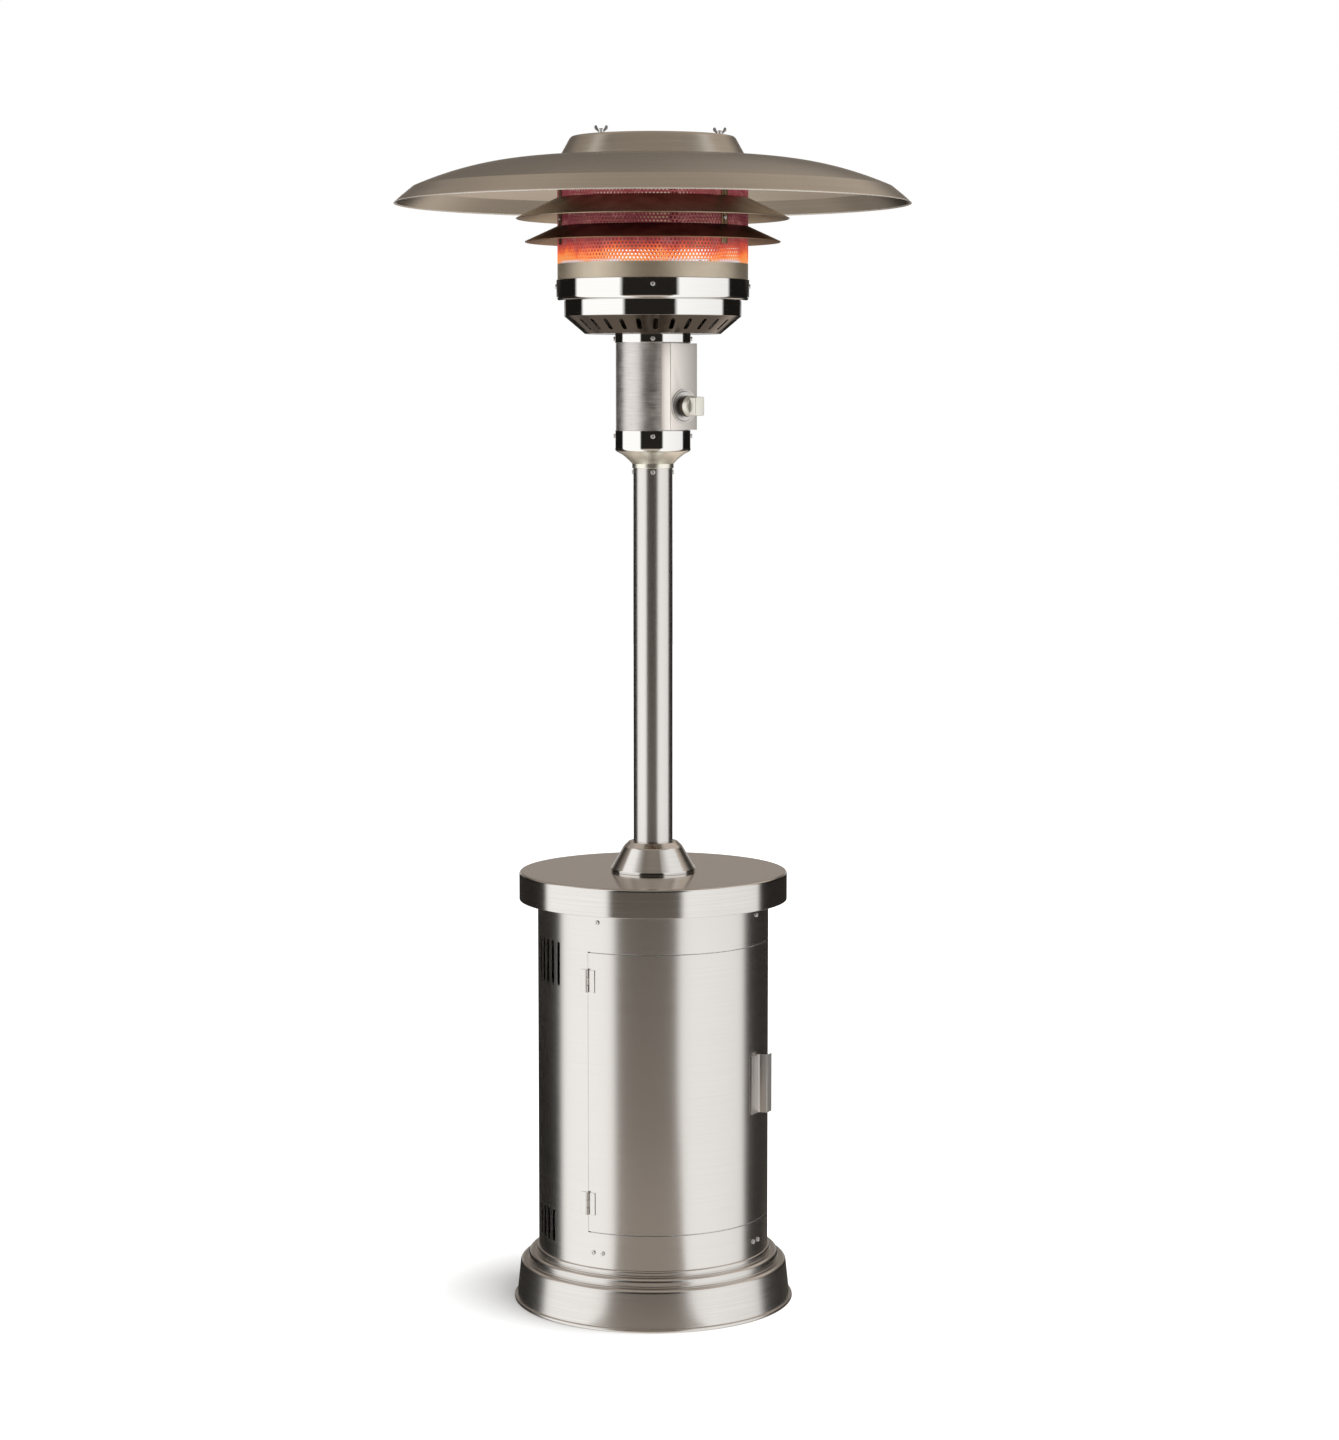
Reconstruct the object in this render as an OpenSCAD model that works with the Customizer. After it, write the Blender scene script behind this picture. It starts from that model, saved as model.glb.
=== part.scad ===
// Free-standing patio heater: a round gas cabinet on a stepped base, a post, a burner head
// with a push-and-turn valve, and a wide reflector.
// Millimetres, +Z up, origin on the floor at the middle of the base.
// Azimuths run from -Y, where the cabinet door faces, towards +X.

/* [Base] */
// Height of the rolled bead
bead_h = 6; // [4:0.5:9]
// How far the bead stands out from the skirt
bead_w = 4.6; // [3.5:0.1:6]
// Height of the skirt, from the floor to its ledge
skirt_h = 67; // [50:1:90]
// How far the skirt leans in over its height
skirt_lean = 6.5; // [0:0.5:9]
// Radius of the skirt's shoulder
skirt_round = 7; // [4:0.5:8]
// Height of the middle step
mid_step_h = 14; // [11:0.5:20]
// How far the skirt's ledge stands out from the middle step
skirt_ledge_w = 13; // [9:0.5:16]
// How far the middle step stands out from the top step
mid_step_w = 13; // [9:0.5:16]
// Radius of the middle step's shoulder
mid_round = 9; // [4:0.5:9]
// Height of the top step
top_step_h = 9; // [6:0.5:14]
// How far the top step stands out from the cabinet
top_step_w = 3.5; // [2.5:0.5:6]
// Width of the foot flange that is turned in under the skirt
foot_flange_w = 14; // [8:1:30]
// Width of the ledge inside the base that carries the pan and the cabinet
inner_ledge_w = 40; // [20:1:60]

/* [Cabinet] */
// Outer radius of the cabinet shell
cabinet_r = 188; // [180:0.5:194]
// Thickness of the sheet metal
sheet = 1.5; // [1.2:0.1:2]
// Height of the cabinet shell
cabinet_h = 616; // [590:1:680]
// Thickness of the floor pan
pan_t = 2; // [1.5:0.5:4]
// Azimuth of the shell's first bracket; the others follow each quarter turn
bracket_az = -48; // [-50:0.5:-44]
// Width of an angle bracket along the shell
bracket_w = 34; // [30:1:44]
// How far an angle bracket reaches in from the shell
bracket_reach = 24; // [16:1:30]
// Height of a foot bracket's upright leg
foot_bracket_h = 36; // [30:1:40]
// Height of a foot screw above the cabinet's foot
foot_screw_h = 24; // [16:1:26]
// Distance between the two screws of a pair
screw_pair_w = 17; // [12:0.5:20]
// Drop of a lid bracket below the lid
lid_bracket_h = 68; // [62:1:80]
// Drop of an upper cabinet screw below the lid
lid_screw_drop = 58; // [54:1:60]
// Azimuth of the middle of a vent group, on both sides of the door
vent_az = 84; // [80:1:100]
// Spacing of the vent slots along the shell
vent_pitch = 17; // [13:0.5:20]
// Width of a vent slot
vent_w = 7; // [4:0.5:9]
// Number of slots in an upper vent group
upper_vents = 5; // [1:1:6]
// Number of slots in a lower vent group
lower_vents = 4; // [1:1:5]
// Length of an upper vent slot
upper_vent_h = 71; // [40:1:90]
// Length of a lower vent slot
lower_vent_h = 51; // [30:1:60]
// Drop of the middle of the upper slots below the cabinet's top
upper_vent_drop = 133; // [116:1:176]
// Height of the middle of the lower slots above the cabinet's foot
lower_vent_z = 52; // [50:1:80]

/* [Door] */
// Azimuth of the door's hinge edge
door_hinge_az = -53.5; // [-60:0.5:-52]
// Azimuth of the door's latch edge
door_latch_az = 58; // [56:0.5:62]
// Height of the door's foot above the cabinet's foot
door_sill = 56; // [50:1:70]
// Drop of the door opening's head below the cabinet's top
door_head = 106; // [90:1:130]
// Gap round the door
door_gap = 1.5; // [1.2:0.1:2.5]
// How far the jamb shows behind the door's edges
jamb_w = 9; // [6:1:14]
// Height of a hinge
hinge_h = 36; // [28:1:50]
// Width of a hinge leaf
hinge_leaf_w = 13; // [10:0.5:18]
// Thickness of a hinge leaf
hinge_t = 1.2; // [1:0.1:1.6]
// Radius of a hinge knuckle
knuckle_r = 2.4; // [2.2:0.1:2.6]
// Radius of a hinge pin
hinge_pin_r = 1.25; // [1:0.05:1.5]
// Height of the middle of the lower hinge above the door's foot
lower_hinge_z = 47; // [30:1:90]
// Drop of the middle of the upper hinge below the door's head
upper_hinge_drop = 47; // [44:1:114]
// Height of the door handle
handle_h = 95; // [70:1:130]
// Height of the middle of the handle above the door's foot
handle_z = 226; // [180:1:260]
// Gap between the handle's edge and the door's latch edge
handle_inset = 26; // [8:1:32]
// Width of the handle's flange on the door
handle_flange_w = 26; // [14:1:30]
// Width of the handle's lip
handle_lip_w = 15; // [12:1:20]
// Room for the fingers behind the lip
handle_room = 13; // [8:0.5:16]
// Thickness of the handle's sheet
handle_t = 1.6; // [1.2:0.1:2]
// Height of the magnet and of its strike plate
magnet_h = 46; // [30:1:60]
// Depth of the magnet's case
magnet_d = 10; // [8:1:12]

/* [Lid] */
// Radius of the lid
lid_r = 218; // [212:0.5:230]
// Thickness of the lid's sheet
lid_t = 2; // [1.5:0.1:3]
// Depth of the lid's skirt
lid_skirt = 46; // [38:1:50]
// Radius of the lid's edge
lid_edge = 4; // [3:0.5:6]
// Radius of the stiffener under the lid
stiffener_r = 95; // [80:1:120]
// Thickness of the stiffener
stiffener_t = 3; // [2:0.5:5]

/* [Post] */
// Outer radius of the post
post_r = 31.75; // [31:0.25:33.5]
// Wall of the post
post_wall = 2; // [1.5:0.1:2.5]
// Length of the post
post_len = 657; // [500:1:800]
// Radius of the post's foot plate
foot_plate_r = 60; // [58:1:61]
// Thickness of the post's foot plate
foot_plate_t = 4; // [3:0.5:6]
// Radius of the pipe's way through the lid
pipe_way_r = 26; // [25:0.5:27]
// Radius of the circle of foot plate bolts
foot_bolt_pcd_r = 47; // [46:0.5:49]
// Radius of a foot plate bolt
foot_bolt_r = 4; // [3:0.5:4]
// Radius of the cone cover at its foot
cover_r = 69; // [68:0.5:80]
// Radius of the cone cover at its top edge
cover_top_r = 44; // [42:0.5:48]
// Height of the cone cover
cover_h = 48; // [42:1:60]
// Width of the cone cover's turned edges
cover_edge = 4; // [3:0.5:5]
// Length of the collar at the top of the post
collar_h = 7.5; // [5:0.5:9]
// Drop of the collar's screws below the top of the post
collar_screw_drop = 13.6; // [13:0.1:18]
// Wall of that collar
collar_wall = 1.6; // [1.2:0.1:3]

/* [Gas line] */
// Radius of the gas pipe
pipe_r = 5; // [4:0.5:6]
// Distance of the gas pipe from the post's axis
pipe_offset = 18; // [17:0.5:19]
// Wall of the gas pipe
pipe_wall = 1; // [0.8:0.1:1.5]
// How far the pipe hangs below the lid
pipe_drop = 66; // [50:1:80]
// Radius of the inlet's nipple
inlet_r = 7.9; // [7:0.1:9]
// Length of the inlet's nipple
inlet_len = 16; // [12:1:20]
// Radius of the inlet's hexagon, across its corners
inlet_hex_r = 11; // [10:0.5:13]
// Height of the inlet's hexagon
inlet_hex_h = 9; // [6:1:14]
// Height of the grommet in the foot of the post
grommet_h = 10; // [6:1:16]

/* [Control housing] */
// Azimuth of the head's screws; the others follow each quarter turn
head_screw_az = -20; // [-30:1:-10]
// Outer radius of the control housing
housing_r = 59.5; // [57:0.5:62]
// Visible height of the control housing
housing_h = 140; // [125:1:160]
// Height of the cup's taper
cup_taper_h = 22; // [16:1:30]
// How far the cup's taper hollows above a straight cone
cup_cove = 2.6; // [1:0.2:4]
// Height of the cup's polished ring
cup_ring_h = 31; // [24:1:40]
// Drop of a cup screw below the cup's edge
cup_screw_drop = 9; // [6:0.5:16]
// Height of the neck ring
neck_h = 14; // [12:1:20]
// Width of the neck ring's inner flange
neck_flange_w = 20; // [17:1:24]
// Distance of the bowl's bolts from the housing's wall
bowl_bolt_inset = 8; // [7:0.5:9]
// Width of the tilt switch
tilt_w = 20; // [14:1:26]
// Depth of the tilt switch
tilt_d = 12; // [8:1:16]
// Height of the tilt switch
tilt_h = 28; // [20:1:40]
// Azimuth that the control panel faces
panel_az = 22; // [10:1:24]
// Distance of the control panel from the axis
panel_d = 74; // [70:0.5:80]
// Width of the control box
panel_w = 58; // [56:1:64]
// Radius of the control box's corners
panel_round = 2; // [2:0.5:6]
// Gap above and below the control box
panel_gap = 1.5; // [1:0.5:4]
// Height of the knob above the foot of the housing
knob_z = 39; // [34:1:44]

/* [Valve and knob] */
// Radius of the bezel
bezel_r = 27; // [23:0.5:28]
// Thickness of the bezel
bezel_t = 2; // [1.5:0.5:3]
// Width of the bezel's raised rim, and of the slope inside it
bezel_rim = 2; // [1.5:0.5:3]
// How far the knob travels when it is pushed
push_travel = 4; // [3:0.5:5]
// Radius of the knob's skirt
knob_r = 17; // [15:0.5:19]
// Height of the knob's skirt
knob_skirt_h = 18; // [10:0.5:20]
// Length of the knob
knob_len = 31; // [26:1:36]
// Solid end of the knob beyond its bore
knob_cap = 8; // [6:0.5:12]
// Width of the knob's grip
grip_w = 19; // [14:0.5:22]
// Height of the knob's grip
grip_h = 30; // [26:0.5:34]
// Radius of the grip's corners
grip_round = 3; // [2:0.5:4]
// Radius of the valve's stem
stem_r = 4; // [3:0.25:5]
// Radius of the valve's plunger
plunger_r = 7; // [6:0.25:8]
// Length of the valve's plunger
plunger_len = 12; // [9:0.5:13]
// Distance of the plunger's chamber from the valve's front
plunger_cover = 16; // [12:0.5:18]
// Radius of the pivot between stem and plunger
pivot_r = 2; // [1.5:0.25:2.5]
// Width of the valve's body
valve_w = 36; // [30:1:44]
// Height of the valve's body
valve_h = 40; // [34:1:44]
// How far the valve's body reaches past the axis
valve_back = 12; // [8:1:16]
// Front of the valve's body, from the axis
valve_front = 46; // [44:1:48]
// Radius of the valve's threaded nose
nose_r = 8; // [7:0.5:9]
// How far the shoulder behind the panel stands out from the nose
nose_shoulder = 4; // [3:0.5:5]
// Gap round that shoulder in the housing's window
window_gap = 2; // [1:0.5:3]
// Radius of the jet
jet_r = 6; // [4:0.5:8]
// Length of the jet
jet_len = 18; // [12:1:24]
// Air gap between the jet and the mixing tube
jet_gap = 4; // [2:0.5:8]
// Radius of the mixing tube
tube_r = 14; // [11:0.5:18]

/* [Burner] */
// Radius of the bowl's floor
bowl_foot_r = 109; // [100:1:118]
// Radius of the bowl
bowl_r = 142; // [138:0.5:148]
// Height of the bowl's slotted cone
bowl_cone_h = 28; // [24:1:40]
// Height of the bowl's polished band
bowl_band_h = 25; // [18:1:36]
// Number of slots in the bowl
bowl_slots = 30; // [12:1:36]
// Width of a bowl slot
bowl_slot_w = 7.5; // [3:0.5:9]
// Length of a bowl slot along the cone
bowl_slot_len = 26; // [16:1:28]
// Height of the burner collar
burner_collar_h = 33; // [26:1:40]
// Drop of a collar screw below the burner collar's edge
burner_screw_drop = 10.5; // [6:0.5:18]
// Width of the burner collar's inner flange
collar_flange_w = 30; // [26:1:40]
// Radius of the burner pan's wall
burner_pan_r = 119; // [110:0.5:121]
// Height of the burner pan
burner_pan_h = 46; // [38:1:54]
// Thickness of the flame plate
flame_plate_t = 2; // [1:0.5:4]
// Gap between the burner pan's flange and the emitter
burner_flange_gap = 3; // [2:0.5:5]
// Height of the pilot burner
pilot_h = 58; // [50:1:66]
// Radius of the pilot burner's tube
pilot_r = 4; // [3:0.5:5]
// Radius of the pilot burner's hood
hood_r = 6; // [5:0.5:7]
// Height of the pilot burner's hood
hood_h = 10; // [8:1:14]
// How far the pilot's tip stands above its hood
hood_drop = 4; // [2:1:6]
// Radius of the thermocouple's probe
probe_r = 1.6; // [1.2:0.1:2]
// Radius of the thermocouple's sleeve
sleeve_r = 3; // [2.5:0.1:4]
// How far the probe stands out of its sleeve
probe_tip = 16; // [10:1:20]
// Radius of the igniter's electrode
electrode_r = 1.2; // [1:0.1:1.6]
// Radius of the igniter's ceramic
ceramic_r = 3.5; // [3:0.1:4.5]
// How far the electrode stands out of its ceramic
electrode_tip = 12; // [8:1:16]
// Spacing of the pilot, thermocouple and igniter along the flange
pilot_pitch = 19; // [15:0.5:24]
// Radius of the emitter screen
emitter_r = 152.6; // [150.5:0.1:158]
// Wall of the emitter screen
emitter_wall = 1.2; // [1:0.1:2]
// Height of the emitter screen
emitter_h = 195.5; // [170:0.5:230]
// Thickness of the emitter's top plate
emitter_top_t = 2; // [1.5:0.5:4]

/* [Deflectors and reflector] */
// Azimuth of the first strap; the others follow each third of a turn
strap_az = 27; // [20:1:34]
// Width of a strap
strap_w = 14; // [10:0.5:20]
// Length of a strap
strap_len = 100; // [92:1:104]
// Drop of a strap's top below the emitter's top
strap_drop = 10; // [8:0.5:12]
// Drop of the upper strap bolt below the strap's top
strap_bolt_drop = 10; // [8:0.5:12]
// Distance between a strap's two bolts
strap_bolt_pitch = 50; // [48:0.5:54]
// Drop of the upper deflector below the emitter's top
upper_ring_drop = 35; // [28:1:40]
// How far the upper deflector reaches out
upper_ring_w = 64; // [50:1:75]
// Height of the upper deflector
upper_ring_h = 31; // [20:1:34]
// Drop of the lower deflector below the emitter's top
lower_ring_drop = 80; // [74:1:90]
// How far the lower deflector reaches out
lower_ring_w = 50; // [40:1:60]
// Height of the lower deflector
lower_ring_h = 23; // [15:1:28]
// Radius of the reflector
reflector_r = 413; // [380:1:440]
// Width of the reflector's flared lip
lip_w = 10.5; // [6:0.5:14]
// Height of the reflector's flared lip
lip_h = 9.6; // [6:0.2:12]
// Width of the reflector's lower band
band_w = 19.5; // [14:0.5:26]
// Height of the reflector's lower band
band_h = 16; // [10:0.5:22]
// Drop of the reflector's dome, from its top to its crease
dome_drop = 44.5; // [36:0.5:60]
// How far the dome swells above a straight cone
dome_swell = 13.5; // [4:0.5:18]
// Radius of the cap at its foot
cap_r = 151; // [144:1:158]
// Radius of the cap's top
cap_top_r = 131.5; // [124:0.5:138]
// Height of the cap
cap_h = 35.5; // [28:0.5:42]
// Width of the cap's foot flange on the reflector
cap_flange_w = 10; // [7:1:12]
// Radius of the cap's top edge
cap_edge = 3; // [2:0.5:5]
// Distance of the dome's inner edge from the cap
dome_step_w = 4; // [3:0.5:6]
// Radius of the circle of studs
stud_pcd_r = 111; // [100:1:114]
// Azimuth of the first stud; the others follow each third of a turn
stud_az = 53; // [40:1:66]
// Radius of a stud
stud_r = 3; // [2.5:0.25:4]
// How far a stud stands above the cap
stud_reach = 8; // [7:0.5:16]
// Height of a stud's head
stud_head_h = 4; // [3:0.5:6]
// Height of the spacers under the cap
spacer_h = 58.5; // [52:0.5:64]
// Radius of a wing nut's hub
wing_hub_r = 5; // [5:0.5:8]
// Height of a wing nut's hub
wing_hub_h = 6.5; // [6:0.5:10]
// Span of a wing nut
wing_span = 22; // [22:1:36]
// Height of a wing
wing_h = 8; // [7:0.5:12]
// Thickness of a wing
wing_t = 2; // [1.5:0.1:3]
// Lean of a wing, in degrees
wing_lean = 25; // [15:1:35]
// Azimuth that the flats of the wings face
wing_az = -20; // [-90:1:90]

/* [Hidden] */
$fn = 96;
// Smallest length that a cutting shape passes beyond a face
eps = 1;
// Seat between nested round pieces that are fixed to each other
seat = 0.2;
// Radial clearance of a pin or stem that turns or slides
fit = 0.05;
// End play of the valve's moving pieces
play = 0.3;
// Clearance of a moving piece from what it passes
clear = 0.4;
// Steps of a rounded edge in a turned profile
arc_steps = 6;
// Steps of the dome's curve
dome_steps = 14;
// Screws that show: shank, head radius and head height
screw_r = 2;
screw_head_r = 3.6;
screw_head_h = 2.2;
// Shank length beyond the sheets that a screw joins
screw_tail = 4;
quarter_turns = [0, 90, 180, 270];
third_turns = [0, 120, 240];

// Heights of the base and cabinet
base_top = skirt_h + mid_step_h + top_step_h;
pan_top = base_top + pan_t;
cab_top = base_top + cabinet_h;
cab_in_r = cabinet_r - sheet;
door_foot = base_top + door_sill;
door_top = cab_top - door_head;
door_h = door_top - door_foot;
bracket_r = cab_in_r - seat;
bracket_deg = bracket_w / cabinet_r * 180 / PI;
pair_deg = screw_pair_w / cabinet_r * 180 / PI;
vent_deg = vent_pitch / cabinet_r * 180 / PI;
// The lower slots stand under the upper ones that are farthest from the door
lower_vent_az = vent_az + (upper_vents - lower_vents) / 2 * vent_deg;
foot_screw_at = base_top + foot_screw_h;
lid_screw_at = cab_top - lid_screw_drop;

// Radii of the base's steps
top_step_r = cabinet_r + top_step_w;
mid_step_r = top_step_r + mid_step_w;
skirt_top_r = mid_step_r + skirt_ledge_w;
skirt_foot_r = skirt_top_r + skirt_lean;
base_r = skirt_foot_r + bead_w;
skirt_edge = min(skirt_round, skirt_ledge_w - 1);
mid_edge = min(mid_round, mid_step_w - 1);
top_edge = top_step_w - 0.5;
ledge_r = cabinet_r - inner_ledge_w;

// Hinge line of the door
hinge_axis_r = cabinet_r + knuckle_r + clear;
door_gap_deg = door_gap / cabinet_r * 180 / PI;
jamb_deg = jamb_w / cabinet_r * 180 / PI;
leaf_deg = hinge_leaf_w / cabinet_r * 180 / PI;
knuckle_h = (hinge_h - 2 * clear) / 3;
knuckle_tie_deg = 0.3;
jamb_out_r = cab_in_r - clear;
magnet_out_r = jamb_out_r - sheet - seat;
hinge_heights = [door_foot + lower_hinge_z, door_top - upper_hinge_drop];
door_mid_z = door_foot + handle_z;
handle_rise_w = 3;
handle_span = handle_flange_w + handle_rise_w + handle_lip_w;
handle_az = door_latch_az - (handle_inset + handle_span - handle_flange_w / 2) / cabinet_r * 180 / PI;

// Heights of the lid and post
lid_top = cab_top + lid_t;
post_foot = lid_top + foot_plate_t;
post_top = post_foot + post_len;
post_in_r = post_r - post_wall;
collar_r = post_r + seat + collar_wall;
collar_screw_at = post_top - collar_screw_drop;
bolt_head_h = foot_bolt_r * 1.3;
bolt_head_r = foot_bolt_r * 1.6;
stiffener_foot = cab_top - stiffener_t;

// Heights of the control housing
cup_wall = sheet;
cup_in_r = housing_r + seat;
cup_r = cup_in_r + cup_wall;
cup_ring_foot = post_top + cup_taper_h;
cup_top = cup_ring_foot + cup_ring_h;
cup_screw_at = cup_top - cup_screw_drop;
housing_foot = cup_ring_foot + seat;
neck_foot = cup_top + housing_h;
neck_top = neck_foot + neck_h;
housing_top = neck_top - sheet - seat;
neck_screw_at = neck_foot + (neck_h - sheet) / 2;
housing_in_r = housing_r - sheet;
knob_at = cup_top + knob_z;
panel_foot = cup_top + panel_gap;
panel_top = neck_foot - panel_gap;
panel_in_d = panel_d - sheet;

// Places along the knob's axis, from the heater's axis
valve_foot = knob_at - valve_h / 2;
valve_top = knob_at + valve_h / 2;
plunger_front = valve_front - plunger_cover;
plunger_rest = plunger_front - play;
plunger_end = plunger_rest - plunger_len;
chamber_end = plunger_end - push_travel - clear;
stem_end = plunger_rest + seat;
pivot_len = plunger_len / 2;
bezel_face = panel_d + bezel_t;
knob_foot = bezel_face + push_travel + clear;
knob_end = knob_foot + knob_len;
knob_bore_end = knob_end - knob_cap;
shoulder_r = nose_r + nose_shoulder;

// Heights of the burner
bowl_foot = neck_top;
bowl_cone_top = bowl_foot + bowl_cone_h;
bowl_top = bowl_cone_top + bowl_band_h;
bowl_slope = atan2(bowl_cone_h, bowl_r - bowl_foot_r);
bowl_bolt_pcd_r = housing_in_r - bowl_bolt_inset;
emitter_foot = bowl_top + sheet;
emitter_top_z = emitter_foot + emitter_h;
emitter_in_r = emitter_r - emitter_wall;
burner_collar_in_r = emitter_r + seat;
burner_collar_r = burner_collar_in_r + sheet;
burner_collar_top = bowl_top + burner_collar_h;
burner_screw_at = burner_collar_top - burner_screw_drop;
pan_floor_top = emitter_foot + sheet;
pan_wall_top = emitter_foot + burner_pan_h;
jet_top = valve_top + jet_len;
tube_foot = jet_top + jet_gap;
burner_flange_r = emitter_in_r - burner_flange_gap;
pilot_ring_r = (burner_pan_r + burner_flange_r) / 2;
pilot_deg = pilot_pitch / pilot_ring_r * 180 / PI;

// Heights of the deflectors and the reflector
strap_in_r = emitter_r + seat;
strap_out_r = strap_in_r + sheet;
ring_in_r = strap_out_r + seat;
strap_deg = strap_w / emitter_r * 180 / PI;
strap_top = emitter_top_z - strap_drop;
upper_bolt_at = strap_top - strap_bolt_drop;
strap_bolt_heights = [upper_bolt_at, upper_bolt_at - strap_bolt_pitch];
emitter_plate_top = emitter_top_z + emitter_top_t;
cap_under = emitter_plate_top + spacer_h;
cap_top = cap_under + sheet;
cap_foot = cap_top - cap_h;
reflector_in_r = cap_r - cap_flange_w;
crease_r = reflector_r - lip_w - band_w;
crease_z = cap_foot - dome_drop;
lip_z = crease_z - band_h;
dome_r = cap_r + dome_step_w;
stud_top = cap_top + stud_reach;

// Points of an arc about a centre
function arc(centre, r, from, to) = [for (i = [0 : arc_steps])
  centre + r * [cos(from + (to - from) * i / arc_steps), sin(from + (to - from) * i / arc_steps)]];

// Points of a curve from p to q that swells by rise at its middle
function swell(p, q, rise) = [for (i = [0 : dome_steps]) let (t = i / dome_steps)
  p + (q - p) * t + [0, 4 * rise * t * (1 - t)]];

// List of points in the other order
function reversed(points) = [for (i = [len(points) - 1 : -1 : 0]) points[i]];

// Turns children that face -Y to an azimuth
module facing(azimuth) {
  rotate([0, 0, azimuth]) children();
}

// Places children so that their +Z points out from the axis
module radial(azimuth, r, z) {
  facing(azimuth) translate([0, -r, z]) rotate([90, 0, 0]) children();
}

// Part of a round wall between two azimuths
module arc_plate(r_in, r_out, from, to, z_foot, height) {
  rotate([0, 0, from - 90]) rotate_extrude(angle = to - from)
    translate([r_in, z_foot]) square([r_out - r_in, height]);
}

// Angle bracket with an upright leg on a round wall; the flat leg is at its foot
module angle_bracket(azimuth, z_foot, height) {
  rotate([0, 0, azimuth - bracket_deg / 2 - 90]) rotate_extrude(angle = bracket_deg)
    translate([bracket_r, z_foot])
      polygon([[0, 0], [0, height], [-sheet, height], [-sheet, sheet * sign(height)],
        [-bracket_reach, sheet * sign(height)], [-bracket_reach, 0]]);
}

// Round tube on the main axis
module tube(r_in, r_out, z_foot, z_top) {
  translate([0, 0, z_foot]) difference() {
    cylinder(r = r_out, h = z_top - z_foot);
    translate([0, 0, -eps]) cylinder(r = r_in, h = z_top - z_foot + 2 * eps);
  }
}

// Screw along +Z: its head stands on z = 0 and its shank goes down
module screw(shank_len) {
  cylinder(r1 = screw_head_r, r2 = screw_head_r * 0.7, h = screw_head_h);
  translate([0, 0, -shank_len]) cylinder(r = screw_r, h = shank_len + eps / 2);
}

// Hole for a screw's shank through a wall at its outer face
module screw_hole(depth) {
  translate([0, 0, -depth]) cylinder(r = screw_r + seat, h = depth + eps);
}

// Row of upright slots in the shell
module vent_row(azimuth, count, z, height) {
  for (i = [0 : count - 1])
    radial(azimuth + (i - (count - 1) / 2) * vent_deg, cabinet_r + eps, z)
      translate([0, 0, -2 * sheet - eps]) linear_extrude(2 * sheet + 2 * eps) {
        square([vent_w, height - vent_w], center = true);
        for (end = [-1, 1]) translate([0, end * (height - vent_w) / 2]) circle(d = vent_w);
      }
}

// Outline of the base ring's steps, moved in by a wall
function base_steps(wall) = concat(
  [[skirt_foot_r - wall, bead_h]],
  arc([skirt_top_r - skirt_edge, skirt_h - skirt_edge], skirt_edge - wall, 0, 90),
  [[mid_step_r - wall, skirt_h - wall]],
  arc([mid_step_r - mid_edge, skirt_h + mid_step_h - mid_edge], mid_edge - wall, 0, 90),
  [[top_step_r - wall, skirt_h + mid_step_h - wall]],
  arc([top_step_r - top_edge, base_top - top_edge], top_edge - wall, 0, 90),
  [[ledge_r, base_top - wall]]);

module base_ring() {
  color("silver") rotate_extrude()
    polygon(concat(
      [[skirt_foot_r - sheet - foot_flange_w, 0]],
      arc([base_r - bead_h / 2, bead_h / 2], bead_h / 2, -90, 90),
      base_steps(0),
      reversed(base_steps(sheet)),
      [[skirt_foot_r - sheet, sheet], [skirt_foot_r - sheet - foot_flange_w, sheet]]));
}

module base_pan() {
  color("dimgray") translate([0, 0, base_top]) cylinder(r = cab_in_r - seat, h = pan_t);
}

module base_brackets() {
  color("gray") difference() {
    for (turn = quarter_turns) angle_bracket(bracket_az + turn, pan_top, foot_bracket_h);
    foot_screw_places() screw_hole(2 * sheet + screw_tail);
  }
}

module foot_screw_places() {
  for (turn = quarter_turns, side = [-0.5, 0.5])
    radial(bracket_az + turn + side * pair_deg, cabinet_r, foot_screw_at) children();
}

module foot_screws() {
  color("gray") foot_screw_places() screw(2 * sheet + screw_tail);
}

module lid_screw_places() {
  for (turn = quarter_turns) radial(bracket_az + turn, cabinet_r, lid_screw_at) children();
}

module lid_screws() {
  color("gray") lid_screw_places() screw(2 * sheet + screw_tail);
}

module cabinet_shell() {
  color("silver") difference() {
    tube(cab_in_r, cabinet_r, base_top, cab_top);
    arc_plate(cab_in_r - eps, cabinet_r + eps, door_hinge_az, door_latch_az, door_foot, door_h);
    for (side = [-1, 1]) {
      vent_row(side * vent_az, upper_vents, cab_top - upper_vent_drop, upper_vent_h);
      vent_row(side * lower_vent_az, lower_vents, base_top + lower_vent_z, lower_vent_h);
    }
    foot_screw_places() screw_hole(2 * sheet);
    lid_screw_places() screw_hole(2 * sheet);
  }
}

// Frame behind the door on three sides
module door_jamb() {
  in_r = jamb_out_r - sheet;
  hinge_end = door_hinge_az + 2 * door_gap_deg;
  color("gray") difference() {
    arc_plate(in_r, jamb_out_r, hinge_end, door_latch_az + jamb_deg, door_foot - jamb_w,
      door_h + 2 * jamb_w);
    arc_plate(in_r - eps, jamb_out_r + eps, hinge_end - jamb_deg, door_latch_az - jamb_deg,
      door_foot + jamb_w, door_h - 2 * jamb_w);
  }
}

module cabinet_door() {
  color("silver") arc_plate(cab_in_r, cabinet_r, door_hinge_az + door_gap_deg,
    door_latch_az - door_gap_deg, door_foot + door_gap, door_h - 2 * door_gap);
}

// Knuckle of a hinge
module knuckle(z_foot, height) {
  facing(door_hinge_az) translate([0, -hinge_axis_r, z_foot]) cylinder(r = knuckle_r, h = height);
}

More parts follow.
